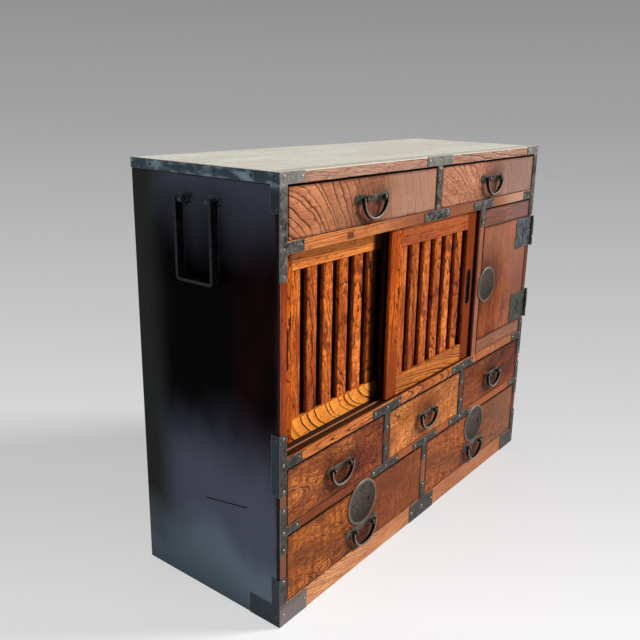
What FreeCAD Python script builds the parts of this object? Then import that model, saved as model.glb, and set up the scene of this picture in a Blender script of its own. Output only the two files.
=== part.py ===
import FreeCAD, Part
import math
import os

Vector = FreeCAD.Vector
os.makedirs("parts", exist_ok=True)

# A merchant's chest of drawers with two latticed sliding doors and one hinged door.
# Millimetres: x to the right, y to the back, z up; the origin is the middle of the base.

# Case: overall size and board thicknesses.
case_width = 1080.0
case_depth = 390.0
case_height = 900.0
side_thickness = 20.0
stile_depth = 8.0
back_thickness = 12.0
back_board_count = 4
bottom_thickness = 22.0
partition_thickness = 22.0
runner_width = 40.0

# Front rails from the floor up, with the drawer rows between them.
base_rail_height = 48.0
bottom_row_height = 151.0
lower_rail_height = 20.0
small_row_height = 123.0
sill_rail_height = 23.0
upper_rail_height = 24.0
top_row_height = 98.0
top_rail_height = 22.0
plain_rail_depth = 22.0
lock_rail_depth = 40.0
track_rail_depth = 70.0

# Drawers: boards and running gaps.
running_gap = 0.3
drawer_side_gap = 2.0
drawer_top_gap = 3.5
drawer_front_thickness = 20.0
drawer_wall = 10.0
drawer_bottom_thickness = 7.0
drawer_side_drop = 8.0
drawer_back_gap = 14.0

# Sliding doors: frame, slats, tongues and the grooves that they run in.
door_post_offset = 233.5
front_door_recess = 9.0
door_thickness = 22.0
door_spacing = 6.0
door_overlap = 28.0
door_stile_width = 40.0
door_rail_height = 44.0
slat_count = 6
slat_width = 30.0
slat_thickness = 11.0
slat_recess = 4.0
tongue_width = 8.0
tongue_drop = 4.0
tongue_rise = 8.0
groove_side_gap = 0.5
lift_room = 4.5
door_edge_gap = 1.0
left_door_ajar = 15.0
right_door_ajar = 9.0

# Finger pulls: iron cups let into the outer stiles of the sliding doors.
pull_width = 24.0
pull_height = 94.0
pull_depth = 10.0
pull_wall = 1.5
pull_fit_gap = 0.2

# Hinged door, breadboard battens and its two corner hinges.
hinged_door_thickness = 20.0
hinged_door_side_gap = 3.0
hinged_door_top_gap = 3.0
batten_top_height = 46.0
batten_bottom_height = 38.0
hinge_leaf_height = 82.0
hinge_leaf_width = 97.0
hinge_side_leaf_width = 48.0
hinge_scallop_depth = 5.0
hinge_top_inset = 53.0
hinge_bottom_inset = 42.0
barrel_radius = 4.5
barrel_offset = 3.5
hinge_pin_radius = 2.2
pin_gap = 0.05
pin_head_radius = 3.4
pin_head_height = 2.0
knuckle_gap = 0.3
knuckles_per_hinge = 3

# Iron straps on the case and their domed nails.
iron_thickness = 1.6
strap_inset = 1.5
strap_wrap = 20.0
strap_floor_gap = 1.0
corner_arm = 65.0
corner_drop = 47.0
corner_wrap_height = 70.0
sill_arm = 64.0
sill_strap_up = 51.0
sill_strap_up_hinge_side = 34.0
sill_strap_down = 52.0
lower_arm = 58.0
lower_strap_up = 46.0
lower_strap_down = 36.0
base_arm = 82.0
base_strap_up = 60.0
base_wrap_depth = 80.0
tee_half_length = 56.0
tee_leg_width = 19.0
tee_leg_length = 46.0
nail_radius = 3.8
nail_height = 2.0
nail_end_gap = 8.0

# Drawer handles: half-round bails in eye posts on lobed plates.
bail_radius = 43.0
small_bail_radius = 39.0
bail_leg_thickness = 3.6
bail_foot_thickness = 5.2
bail_depth = 9.0
bail_ear = 4.5
bail_pin_radius = 2.5
bail_pin_gap = 0.1
post_inset = 12.0
eye_radius = 6.0
eye_width = 6.0
post_radius = 3.5
handle_stand_off = 10.0
plate_half_length = 59.5
small_plate_half_length = 42.0
plate_half_height = 8.5
small_plate_half_height = 7.0
plate_lobe_radius = 12.0
small_plate_lobe_radius = 8.5
handle_plate_thickness = 1.6
top_pivot_height = 52.0
small_pivot_height = 63.0
bottom_pivot_height = 49.0

# Locks: round plates, cases behind the boards, and sliding bolts.
drawer_lock_radius = 53.0
door_lock_radius = 47.0
lock_disc_thickness = 1.6
lock_rim_height = 1.2
lock_rim_width = 2.5
drawer_lock_height = 110.0
door_lock_drop = 8.5
door_lock_edge_offset = 31.5
key_slot_width = 4.0
key_slot_height = 12.0
key_slot_offset = 22.0
lock_case_width = 64.0
lock_case_height = 40.0
lock_case_depth = 12.0
bolt_width = 24.0
bolt_thickness = 5.0
bolt_length = 34.0
bolt_gap = 0.3
bolt_throw = 8.0
bolt_lip = 0.5
mortise_clearance = 1.0

# Carrying handles on the sides: tall strap loops in eye posts.
loop_half_width = 49.0
loop_length = 155.0
loop_thickness = 5.0
loop_depth = 18.0
loop_ear = 4.0
loop_corner_radius = 9.0
loop_pin_radius = 3.2
loop_stand_off = 13.0
loop_pivot_drop = 65.0
loop_post_inset = 12.0
loop_eye_radius = 7.0
loop_eye_width = 10.0
loop_post_radius = 4.5
loop_plate_half_width = 22.0
loop_plate_half_height = 13.0
loop_plate_lobe_radius = 10.0

# How far a cutting tool runs past the face that it opens.
overrun = 5.0

# Planes and levels that the pieces share.
half_width = case_width / 2
inner_half = half_width - side_thickness
front_y = -case_depth / 2
back_y = case_depth / 2
inner_back_y = back_y - back_thickness
base_top = base_rail_height
lower_rail_bottom = base_top + bottom_row_height
lower_rail_top = lower_rail_bottom + lower_rail_height
sill_bottom = lower_rail_top + small_row_height
sill_top = sill_bottom + sill_rail_height
top_rail_bottom = case_height - top_rail_height
upper_rail_top = top_rail_bottom - top_row_height
upper_rail_bottom = upper_rail_top - upper_rail_height
post_left = door_post_offset - partition_thickness / 2
post_right = door_post_offset + partition_thickness / 2
door_lock_level = (sill_top + upper_rail_bottom) / 2 - door_lock_drop
small_clear_width = (2 * inner_half - 2 * partition_thickness) / 3
small_partition_offset = (small_clear_width + partition_thickness) / 2
iron_face_y = front_y - iron_thickness


def box(x0, x1, y0, y1, z0, z1):
    """A board between two corners."""
    return Part.makeBox(x1 - x0, y1 - y0, z1 - z0, Vector(x0, y0, z0))


def rod(radius, start, end):
    """A round bar between two points."""
    along = end - start
    return Part.makeCylinder(radius, along.Length, start, along)


def join(solids):
    """One piece forged or glued from several solids."""
    return solids[0].multiFuse(solids[1:]).removeSplitter()


def mirrored(solid):
    """The same piece on the other side of the centre line."""
    return solid.mirror(Vector(0, 0, 0), Vector(1, 0, 0))


def save(node, solids):
    """Writes one node, as a single solid or as a group of separate solids."""
    flat = [solid for shape in solids for solid in shape.Solids]
    shape = flat[0] if len(flat) == 1 else Part.makeCompound(flat)
    shape.exportStep("parts/" + node + ".step")


def prism(edges, direction):
    """A flat outline, given as edges in order, pushed along a direction."""
    return Part.Face(Part.Wire(edges)).extrude(direction)


def arc(start, middle, end):
    return Part.Arc(start, middle, end).toShape()


def line(start, end):
    return Part.LineSegment(start, end).toShape()


# Case boards: sides, top, bottom, back and the boards that divide it.
def case_boards():
    side = box(-half_width, -inner_half, front_y + stile_depth, back_y, 0, top_rail_bottom)
    save("left_side_panel", [side])
    save("right_side_panel", [mirrored(side)])
    stile = box(-half_width, -inner_half, front_y, front_y + stile_depth, 0, top_rail_bottom)
    save("front_stiles", [stile, mirrored(stile)])
    top_y = front_y + plain_rail_depth
    save("top_panel", [box(-half_width, half_width, top_y, back_y, top_rail_bottom, case_height)])
    save("bottom_panel", [box(-inner_half, inner_half, top_y, inner_back_y, 0, bottom_thickness)])
    board_width = 2 * inner_half / back_board_count
    boards = []
    for index in range(back_board_count):
        left = -inner_half + index * board_width
        boards.append(box(left, left + board_width, inner_back_y, back_y, 0, top_rail_bottom))
    save("back_boards", boards)
    shelves = [
        box(-inner_half, inner_half, front_y + lock_rail_depth, inner_back_y,
            lower_rail_bottom, lower_rail_top),
        box(-inner_half, inner_half, front_y + track_rail_depth, inner_back_y,
            sill_bottom, sill_top),
        box(-inner_half, inner_half, front_y + track_rail_depth, inner_back_y,
            upper_rail_bottom, upper_rail_top),
    ]
    save("shelf_boards", shelves)
    half = partition_thickness / 2
    runners = [
        box(-inner_half, -inner_half + runner_width, top_y, inner_back_y, bottom_thickness, base_top),
        box(-half - runner_width, half + runner_width, top_y, inner_back_y, bottom_thickness, base_top),
        box(inner_half - runner_width, inner_half, top_y, inner_back_y, bottom_thickness, base_top),
    ]
    save("bottom_runners", runners)


def partition(x, z0, z1):
    """An upright board as deep as the case, whose front edge shows between the drawers."""
    half = partition_thickness / 2
    return box(x - half, x + half, front_y, inner_back_y, z0, z1)


def case_partitions():
    save("centre_partitions", [partition(0, upper_rail_top, top_rail_bottom),
                               partition(0, base_top, lower_rail_bottom)])
    save("middle_partitions", [partition(-small_partition_offset, lower_rail_top, sill_bottom),
                               partition(small_partition_offset, lower_rail_top, sill_bottom)])
    mortise_low = door_lock_level - bolt_width / 2 - mortise_clearance
    mortise_y = front_y + hinged_door_thickness + bolt_inset - mortise_clearance
    mortise = box(post_right - bolt_throw - mortise_clearance, post_right + overrun,
                  mortise_y, mortise_y + bolt_thickness + 2 * mortise_clearance,
                  mortise_low, mortise_low + bolt_width + 2 * mortise_clearance)
    post = partition(door_post_offset, sill_top, upper_rail_bottom)
    save("door_partition", [post.cut(mortise)])


# Front rails. The two round the sliding doors carry a pair of grooves each, and the one
# over the bottom drawers is mortised from below for the lock bolts.
def rail(x0, x1, depth, z0, z1):
    return box(x0, x1, front_y, front_y + depth, z0, z1)


def door_grooves(z0, z1):
    """Both grooves that the sliding doors' tongues run in, between two levels."""
    grooves = []
    for y in door_plane_y:
        middle = y + door_thickness / 2
        half = tongue_width / 2 + groove_side_gap
        grooves.append(box(-inner_half, post_left, middle - half, middle + half, z0, z1))
    return grooves


def front_rails():
    save("top_rail", [rail(-half_width, half_width, plain_rail_depth, top_rail_bottom, case_height)])
    upper = rail(-inner_half, inner_half, track_rail_depth, upper_rail_bottom, upper_rail_top)
    groove_top = upper_rail_bottom + tongue_rise + lift_room - door_edge_gap
    save("upper_rail", [upper.cut(door_grooves(upper_rail_bottom - overrun, groove_top))])
    sill = rail(-inner_half, inner_half, track_rail_depth, sill_bottom, sill_top)
    groove_floor = sill_top + door_edge_gap - tongue_drop - running_gap
    save("sill_rail", [sill.cut(door_grooves(groove_floor, sill_top + overrun))])
    lower = rail(-inner_half, inner_half, lock_rail_depth, lower_rail_bottom, lower_rail_top)
    mortises = []
    for x in bottom_drawer_centres:
        mortise_y = front_y + drawer_front_thickness + bolt_inset - mortise_clearance
        left = x + key_slot_offset - bolt_width / 2 - mortise_clearance
        mortises.append(box(left, left + bolt_width + 2 * mortise_clearance,
                            mortise_y, mortise_y + bolt_thickness + 2 * mortise_clearance,
                            lower_rail_bottom - overrun,
                            lower_rail_bottom + bolt_throw + mortise_clearance))
    save("lower_rail", [lower.cut(mortises)])
    save("base_rail", [rail(-inner_half, inner_half, plain_rail_depth, 0, base_top)])


# Locks. The case behind the board holds a bolt that slides out of its open end.
bolt_inset = (lock_case_depth - bolt_thickness) / 2


def lock_disc(x, z, radius):
    """A round plate with a bevelled rim, standing on the front plane, with a keyhole."""
    outwards = Vector(0, -1, 0)
    flat = Part.makeCylinder(radius, lock_disc_thickness, Vector(x, front_y, z), outwards)
    rim_base = Vector(x, front_y - lock_disc_thickness, z)
    rim = Part.makeCone(radius, radius - lock_rim_width, lock_rim_height, rim_base, outwards)
    return join([flat, rim]).cut(key_slot(x, z))


def key_slot(x, z):
    """The cutter for a keyhole beside a lock's centre."""
    middle = x + key_slot_offset
    return box(middle - key_slot_width / 2, middle + key_slot_width / 2,
               front_y - handle_stand_off, front_y + drawer_front_thickness + overrun,
               z - key_slot_height / 2, z + key_slot_height / 2)


def upright_lock_case(x, y, z_top):
    """A lock case with a slot for a bolt that rises through its top."""
    case = box(x - lock_case_width / 2, x + lock_case_width / 2, y, y + lock_case_depth,
               z_top - lock_case_height, z_top)
    bolt_y = y + bolt_inset
    slot = box(x - bolt_width / 2 - bolt_gap, x + bolt_width / 2 + bolt_gap,
               bolt_y - bolt_gap, bolt_y + bolt_thickness + bolt_gap,
               z_top - bolt_lip - bolt_length - bolt_gap, z_top + overrun)
    bolt = box(x - bolt_width / 2, x + bolt_width / 2, bolt_y, bolt_y + bolt_thickness,
               z_top - bolt_lip - bolt_length, z_top - bolt_lip)
    return case.cut(slot), bolt


# Drawer handles.
def drawer_bail(x, z, radius):
    """A half-round bail hanging from its pins; it is thickest at the foot of its curve."""
    y = front_y - handle_stand_off - bail_depth / 2
    inner = radius - bail_leg_thickness
    foot = radius - bail_foot_thickness
    outer_left = Vector(x - radius, y, z)
    outer_right = Vector(x + radius, y, z)
    inner_left = Vector(x - inner, y, z)
    inner_right = Vector(x + inner, y, z)
    up = Vector(0, 0, bail_ear)
    edges = [
        arc(outer_left, Vector(x, y, z - radius), outer_right),
        line(outer_right, outer_right + up),
        line(outer_right + up, inner_right + up),
        line(inner_right + up, inner_right),
        arc(inner_right, Vector(x, y, z - foot), inner_left),
        line(inner_left, inner_left + up),
        line(inner_left + up, outer_left + up),
        line(outer_left + up, outer_left),
    ]
    bow = prism(edges, Vector(0, bail_depth, 0))
    pin_y = front_y - handle_stand_off
    pin_start = radius - bail_leg_thickness / 2
    pin_end = radius - post_inset - eye_width
    pins = []
    for side in (-1, 1):
        pins.append(rod(bail_pin_radius, Vector(x + side * pin_start, pin_y, z),
                        Vector(x + side * pin_end, pin_y, z)))
    return join([bow] + pins)


def eye_post(x, z):
    """A post out of the front plane that ends in an eye for a bail's pin."""
    pin_y = front_y - handle_stand_off
    half = Vector(eye_width / 2, 0, 0)
    centre = Vector(x, pin_y, z)
    stem = rod(post_radius, Vector(x, front_y, z), centre)
    eye = rod(eye_radius, centre - half, centre + half)
    bore = rod(bail_pin_radius + bail_pin_gap, centre - 2 * half, centre + 2 * half)
    return join([stem, eye]).cut(bore)


def handle_mount(x, z, radius, half_length, half_height, lobe_radius):
    """A lobed plate with two eye posts riveted through it."""
    bar = box(x - half_length + lobe_radius, x + half_length - lobe_radius,
              front_y - handle_plate_thickness, front_y, z - half_height, z + half_height)
    pieces = [bar]
    for side in (-1, 1):
        lobe_x = x + side * (half_length - lobe_radius)
        pieces.append(rod(lobe_radius, Vector(lobe_x, front_y, z),
                          Vector(lobe_x, front_y - handle_plate_thickness, z)))
        pieces.append(eye_post(x + side * (radius - post_inset), z))
    return join(pieces)


# Drawers: front board, three walls and a bottom, with a handle and, below, a lock.
def drawer_boards(left, right, floor, ceiling):
    """The front and the box of a drawer that fills one opening of the case."""
    x0 = left + drawer_side_gap
    x1 = right - drawer_side_gap
    z0 = floor + running_gap
    z1 = ceiling - drawer_top_gap
    wall_y = front_y + drawer_front_thickness
    end_y = inner_back_y - drawer_back_gap
    wall_top = z1 - drawer_side_drop
    wall_foot = z0 + drawer_bottom_thickness
    front = box(x0, x1, front_y, wall_y, z0, z1)
    walls = [
        box(x0, x1, wall_y, end_y, z0, wall_foot),
        box(x0, x0 + drawer_wall, wall_y, end_y, wall_foot, wall_top),
        box(x1 - drawer_wall, x1, wall_y, end_y, wall_foot, wall_top),
        box(x0 + drawer_wall, x1 - drawer_wall, end_y - drawer_wall, end_y, wall_foot, wall_top),
    ]
    return front, walls


def plain_drawer(name, left, right, floor, ceiling, pivot_height, radius, plate):
    front, walls = drawer_boards(left, right, floor, ceiling)
    x = (left + right) / 2
    z = floor + pivot_height
    save(name + "_drawer_front", [front])
    save(name + "_drawer_box", walls)
    save(name + "_handle_mount", [handle_mount(x, z, radius, *plate)])
    save(name + "_bail", [drawer_bail(x, z, radius)])


def locked_drawer(name, left, right):
    front, walls = drawer_boards(left, right, base_top, lower_rail_bottom)
    x = (left + right) / 2
    z = base_top + bottom_pivot_height
    lock_z = base_top + drawer_lock_height
    case_y = front_y + drawer_front_thickness
    case_top = lower_rail_bottom - drawer_top_gap
    case, bolt = upright_lock_case(x + key_slot_offset, case_y, case_top)
    plate = (plate_half_length, plate_half_height, plate_lobe_radius)
    disc = lock_disc(x, lock_z, drawer_lock_radius)
    mount = handle_mount(x, z, bail_radius, *plate)
    under_disc = Part.makeCylinder(drawer_lock_radius, case_depth,
                                   Vector(x, -case_depth, lock_z), Vector(0, 1, 0))
    save(name + "_drawer_front", [front.cut(key_slot(x, lock_z))])
    save(name + "_drawer_box", walls)
    save(name + "_lock_and_mount", [disc, mount.cut(under_disc), case])
    save(name + "_lock_bolt", [bolt])
    save(name + "_bail", [drawer_bail(x, z, bail_radius)])


def all_drawers():
    half = partition_thickness / 2
    plate = (plate_half_length, plate_half_height, plate_lobe_radius)
    small_plate = (small_plate_half_length, small_plate_half_height, small_plate_lobe_radius)
    for name, left, right in (("top_left", -inner_half, -half), ("top_right", half, inner_half)):
        plain_drawer(name, left, right, upper_rail_top, top_rail_bottom,
                     top_pivot_height, bail_radius, plate)
    small_names = ("small_left", "small_middle", "small_right")
    for index, name in enumerate(small_names):
        left = -inner_half + index * (small_clear_width + partition_thickness)
        plain_drawer(name, left, left + small_clear_width, lower_rail_top, sill_bottom,
                     small_pivot_height, small_bail_radius, small_plate)
    locked_drawer("bottom_left", -inner_half, -half)
    locked_drawer("bottom_right", half, inner_half)


bottom_drawer_centres = (-(inner_half + partition_thickness / 2) / 2,
                         (inner_half + partition_thickness / 2) / 2)

# Sliding doors: mortised frames with open slats, tongued into the rails above and below.
sliding_width = post_left + inner_half
door_width = (sliding_width + door_overlap) / 2
door_bottom = sill_top + door_edge_gap
door_top = upper_rail_bottom - door_edge_gap
front_plane_y = front_y + front_door_recess
door_plane_y = (front_plane_y, front_plane_y + door_thickness + door_spacing)


def tongued(x0, x1, y, z0, z1, below, above):
    """A frame member with a tongue along its lower edge, its upper edge or both."""
    pieces = [box(x0, x1, y, y + door_thickness, z0, z1)]
    tongue_y = y + (door_thickness - tongue_width) / 2
    if below:
        pieces.append(box(x0, x1, tongue_y, tongue_y + tongue_width, z0 - tongue_drop, z0))
    if above:
        pieces.append(box(x0, x1, tongue_y, tongue_y + tongue_width, z1, z1 + tongue_rise))
    return join(pieces)


def stadium(x, y, z, width, height, depth):
    """An upright slot shape with round ends, from a plane into a board."""
    half = width / 2
    straight = height / 2 - half
    low_left = Vector(x - half, y, z - straight)
    low_right = Vector(x + half, y, z - straight)
    high_right = Vector(x + half, y, z + straight)
    high_left = Vector(x - half, y, z + straight)
    edges = [
        arc(low_left, Vector(x, y, z - height / 2), low_right),
        line(low_right, high_right),
        arc(high_right, Vector(x, y, z + height / 2), high_left),
        line(high_left, low_left),
    ]
    return prism(edges, Vector(0, depth, 0))


def sliding_door(name, left, y, pull_on_left):
    right = left + door_width
    inner_left = left + door_stile_width
    inner_right = right - door_stile_width
    rail_top = door_bottom + door_rail_height
    rail_bottom = door_top - door_rail_height
    pull_x = left + door_stile_width / 2 if pull_on_left else right - door_stile_width / 2
    pull_z = (door_bottom + door_top) / 2
    mortise = stadium(pull_x, y - pull_fit_gap, pull_z, pull_width + 2 * pull_fit_gap,
                      pull_height + 2 * pull_fit_gap, pull_depth + 2 * pull_fit_gap)
    members = [
        tongued(left, inner_left, y, door_bottom, door_top, True, True).cut(mortise),
        tongued(inner_right, right, y, door_bottom, door_top, True, True).cut(mortise),
        tongued(inner_left, inner_right, y, door_bottom, rail_top, True, False),
        tongued(inner_left, inner_right, y, rail_bottom, door_top, False, True),
    ]
    pitch = (inner_right - inner_left) / slat_count
    slat_y = y + slat_recess
    for index in range(slat_count):
        slat_left = inner_left + index * pitch
        members.append(box(slat_left, slat_left + slat_width, slat_y, slat_y + slat_thickness,
                           rail_top, rail_bottom))
    save(name + "_sliding_door", members)
    cup = stadium(pull_x, y, pull_z, pull_width, pull_height, pull_depth)
    hollow = stadium(pull_x, y - pull_fit_gap, pull_z, pull_width - 2 * pull_wall,
                     pull_height - 2 * pull_wall, pull_depth - pull_wall + pull_fit_gap)
    save(name + "_door_pull", [cup.cut(hollow)])


# Hinged door with breadboard battens, corner hinges and a lock.
hinged_left = post_right + hinged_door_side_gap
hinged_right = inner_half - hinged_door_side_gap
hinged_bottom = sill_top + door_edge_gap
hinged_top = upper_rail_bottom - hinged_door_top_gap
hinge_axis_x = half_width + barrel_offset
hinge_axis_y = front_y - barrel_offset
hinge_feet = (sill_top + hinge_bottom_inset,
              upper_rail_bottom - hinge_top_inset - hinge_leaf_height)


def knuckle(foot, slots):
    """The barrel rolls of one leaf, in the slots of the knuckle stack that it takes."""
    slot_height = hinge_leaf_height / knuckles_per_hinge
    rolls = []
    for slot in slots:
        low = Vector(hinge_axis_x, hinge_axis_y, foot + slot * slot_height + knuckle_gap / 2)
        rolls.append(Part.makeCylinder(barrel_radius, slot_height - knuckle_gap, low))
    return rolls


def hinge_bore(foot):
    low = Vector(hinge_axis_x, hinge_axis_y, foot - overrun)
    return Part.makeCylinder(hinge_pin_radius + pin_gap, hinge_leaf_height + 2 * overrun, low)


def roll_relief(foot, slots):
    """Room in one leaf for the rolls that belong to the other."""
    slot_height = hinge_leaf_height / knuckles_per_hinge
    room = []
    for slot in slots:
        low = Vector(hinge_axis_x, hinge_axis_y, foot + slot * slot_height - knuckle_gap / 2)
        room.append(Part.makeCylinder(barrel_radius + 2 * knuckle_gap, slot_height + knuckle_gap, low))
    return room


def door_leaf(foot):
    """The leaf nailed across the door, scalloped along its free edge."""
    left = half_width - hinge_leaf_width
    top = foot + hinge_leaf_height
    dip = left + hinge_scallop_depth
    middle = foot + hinge_leaf_height / 2
    lower_middle = (foot + middle) / 2
    upper_middle = (middle + top) / 2
    y = front_y - iron_thickness
    corner_low = Vector(dip, y, foot)
    waist = Vector(dip, y, middle)
    corner_high = Vector(dip, y, top)
    edges = [
        line(corner_low, Vector(hinge_axis_x, y, foot)),
        line(Vector(hinge_axis_x, y, foot), Vector(hinge_axis_x, y, top)),
        line(Vector(hinge_axis_x, y, top), corner_high),
        arc(corner_high, Vector(left, y, upper_middle), waist),
        arc(waist, Vector(left, y, lower_middle), corner_low),
    ]
    leaf = prism(edges, Vector(0, iron_thickness, 0)).cut(roll_relief(foot, (1,)))
    return join([leaf] + knuckle(foot, (0, 2))).cut(hinge_bore(foot))


def case_leaf(foot):
    """The leaf nailed to the outside of the case, with the middle roll."""
    top = foot + hinge_leaf_height
    leaf = box(half_width, half_width + iron_thickness, hinge_axis_y,
               front_y + hinge_side_leaf_width, foot, top)
    leaf = leaf.cut(roll_relief(foot, (0, 2)))
    return join([leaf] + knuckle(foot, (1,))).cut(hinge_bore(foot))


def hinge_pin(foot):
    low = Vector(hinge_axis_x, hinge_axis_y, foot)
    top = Vector(hinge_axis_x, hinge_axis_y, foot + hinge_leaf_height)
    shaft = Part.makeCylinder(hinge_pin_radius, hinge_leaf_height, low)
    head = Part.makeCylinder(pin_head_radius, pin_head_height, top)
    return join([shaft, head])


def hinged_door():
    board_low = hinged_bottom + batten_bottom_height
    board_high = hinged_top - batten_top_height
    back = front_y + hinged_door_thickness
    lock_x = hinged_left + door_lock_edge_offset
    lock_z = door_lock_level
    slot = key_slot(lock_x, lock_z)
    board = box(hinged_left, hinged_right, front_y, back, board_low, board_high)
    save("hinged_door", [
        board.cut(slot),
        box(hinged_left, hinged_right, front_y, back, hinged_bottom, board_low),
        box(hinged_left, hinged_right, front_y, back, board_high, hinged_top),
    ])
    save("hinge_door_leaves", [door_leaf(foot) for foot in hinge_feet])
    pins = [hinge_pin(foot) for foot in hinge_feet]
    save("hinge_case_leaves", [case_leaf(foot) for foot in hinge_feet] + pins)
    bolt_y = back + bolt_inset
    case = box(hinged_left, hinged_left + lock_case_width, back, back + lock_case_depth,
               lock_z - lock_case_height / 2, lock_z + lock_case_height / 2)
    bolt_left = hinged_left + bolt_lip
    bolt_room = box(hinged_left - overrun, bolt_left + bolt_length + bolt_gap,
                    bolt_y - bolt_gap, bolt_y + bolt_thickness + bolt_gap,
                    lock_z - bolt_width / 2 - bolt_gap, lock_z + bolt_width / 2 + bolt_gap)
    save("door_lock", [lock_disc(lock_x, lock_z, door_lock_radius), case.cut(bolt_room)])
    save("door_lock_bolt", [box(bolt_left, bolt_left + bolt_length, bolt_y, bolt_y + bolt_thickness,
                                lock_z - bolt_width / 2, lock_z + bolt_width / 2)])


# Carrying handles: tall strap loops that swing up over the top to take a pole.
def carrying_loop(side):
    pivot = Vector(side * (half_width + loop_stand_off), 0, case_height - loop_pivot_drop)
    x = pivot.x - loop_depth / 2
    rounding = loop_corner_radius
    outer = loop_half_width
    inner = outer - loop_thickness
    top = pivot.z + loop_ear
    foot = pivot.z - loop_length
    solid = box(x, x + loop_depth, -outer, outer, foot, top)
    hollow = box(x - overrun, x + loop_depth + overrun, -inner, inner,
                 foot + loop_thickness, top + overrun)
    corners = [edge for edge in solid.Edges
               if all(abs(v.Z - foot) < running_gap for v in edge.Vertexes)
               and abs(edge.Vertexes[0].Y - edge.Vertexes[1].Y) < running_gap]
    pieces = [solid.makeFillet(rounding, corners).cut(hollow)]
    pin_end = outer - loop_post_inset - loop_eye_width
    for end in (-1, 1):
        start = Vector(pivot.x, end * (outer - loop_thickness / 2), pivot.z)
        pieces.append(rod(loop_pin_radius, start, Vector(pivot.x, end * pin_end, pivot.z)))
    return join(pieces)


def carrying_mount(side, end):
    """A small lobed plate on the case side with an eye post for one end of a loop."""
    wall_x = side * half_width
    plate_x = side * (half_width + iron_thickness)
    y = end * (loop_half_width - loop_post_inset)
    z = case_height - loop_pivot_drop
    pivot_x = side * (half_width + loop_stand_off)
    lobe_offset = loop_plate_half_width - loop_plate_lobe_radius
    middle = box(min(wall_x, plate_x), max(wall_x, plate_x), y - lobe_offset, y + lobe_offset,
                 z - loop_plate_half_height, z + loop_plate_half_height)
    pieces = [middle]
    for way in (-1, 1):
        lobe_y = y + way * lobe_offset
        pieces.append(rod(loop_plate_lobe_radius, Vector(wall_x, lobe_y, z), Vector(plate_x, lobe_y, z)))
    half = Vector(0, loop_eye_width / 2, 0)
    centre = Vector(pivot_x, y, z)
    pieces.append(rod(loop_post_radius, Vector(wall_x, y, z), centre))
    pieces.append(rod(loop_eye_radius, centre - half, centre + half))
    bore = rod(loop_pin_radius + bail_pin_gap, centre - 2 * half, centre + 2 * half)
    return join(pieces).cut(bore)


# Iron straps. Each is a plate bent or cut from sheet, with domed nails along it.
nail_places = []


def front_plate(x0, x1, z0, z1):
    return box(x0, x1, iron_face_y, front_y, z0, z1)


def side_plate(side, y0, y1, z0, z1):
    """A plate on the outside of a case side."""
    low = side * half_width
    high = side * (half_width + iron_thickness)
    return box(min(low, high), max(low, high), y0, y1, z0, z1)


def nail_front(x, z):
    nail_places.append((Vector(x, iron_face_y, z), Vector(0, -1, 0)))


def nail_side(side, y, z):
    nail_places.append((Vector(side * (half_width + iron_thickness), y, z), Vector(side, 0, 0)))


def domed_nail(place, outwards):
    """A nail head: a cap cut from a ball, with its flat side on the iron."""
    ball = (nail_radius ** 2 + nail_height ** 2) / (2 * nail_height)
    latitude = math.degrees(math.asin((ball - nail_height) / ball))
    centre = place - outwards * (ball - nail_height)
    return Part.makeSphere(ball, centre, outwards, latitude, 90, 360)


def tee(x, z0, z1, leg_up, leg_down):
    """A plate along a rail with a leg over the end of an upright."""
    plates = [front_plate(x - tee_half_length, x + tee_half_length, z0, z1)]
    middle = (z0 + z1) / 2
    half = tee_leg_width / 2
    for offset in (-tee_half_length + nail_end_gap, 0, tee_half_length - nail_end_gap):
        nail_front(x + offset, middle)
    if leg_up:
        plates.append(front_plate(x - half, x + half, z1, z1 + leg_up))
        nail_front(x, z1 + leg_up - nail_end_gap)
    if leg_down:
        plates.append(front_plate(x - half, x + half, z0 - leg_down, z0))
        nail_front(x, z0 - leg_down + nail_end_gap)
    return join(plates)


def tee_straps():
    inset = strap_inset
    top_low = top_rail_bottom + inset
    upper_low = upper_rail_bottom + inset
    upper_high = upper_rail_top - inset
    lower_low = lower_rail_bottom + inset
    lower_high = lower_rail_top - inset
    half = tee_leg_width / 2
    centre = join([tee(0, top_low, case_height, 0, 0), tee(0, upper_low, upper_high, 0, 0),
                   front_plate(-half, half, upper_high, top_low)])
    nail_front(0, upper_high + nail_end_gap)
    nail_front(0, top_low - nail_end_gap)
    straps = [centre, tee(door_post_offset, upper_low, upper_high, 0, tee_leg_length)]
    for x in (-small_partition_offset, small_partition_offset):
        straps.append(tee(x, sill_bottom + inset, sill_top - inset, 0, tee_leg_length))
        straps.append(tee(x, lower_low, lower_high, tee_leg_length, 0))
    straps.append(tee(0, lower_low, lower_high, 0, tee_leg_length))
    straps.append(tee(0, strap_floor_gap, base_top - inset, tee_leg_length, 0))
    return straps


def stile_plate(side, z0, z1):
    """A strip over one stile, as far as the outer face of a wrap round the corner."""
    outer = side * (half_width + iron_thickness)
    inner = side * (inner_half + strap_inset)
    return front_plate(min(inner, outer), max(inner, outer), z0, z1)


def rail_arm(side, reach, z0, z1):
    """An arm from the corner of the case along a rail."""
    outer = side * half_width
    end = side * (half_width - reach)
    nail_front(end + side * nail_end_gap, (z0 + z1) / 2)
    return front_plate(min(outer, end), max(outer, end), z0, z1)


def wrap(side, z0, z1):
    return side_plate(side, front_y, front_y + strap_wrap, z0, z1)


def nail_stile(side, levels):
    for z in levels:
        nail_front(side * (half_width - side_thickness / 2), z)


def nail_wrap(side, levels):
    for z in levels:
        nail_side(side, front_y + strap_wrap / 2, z)


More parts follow.
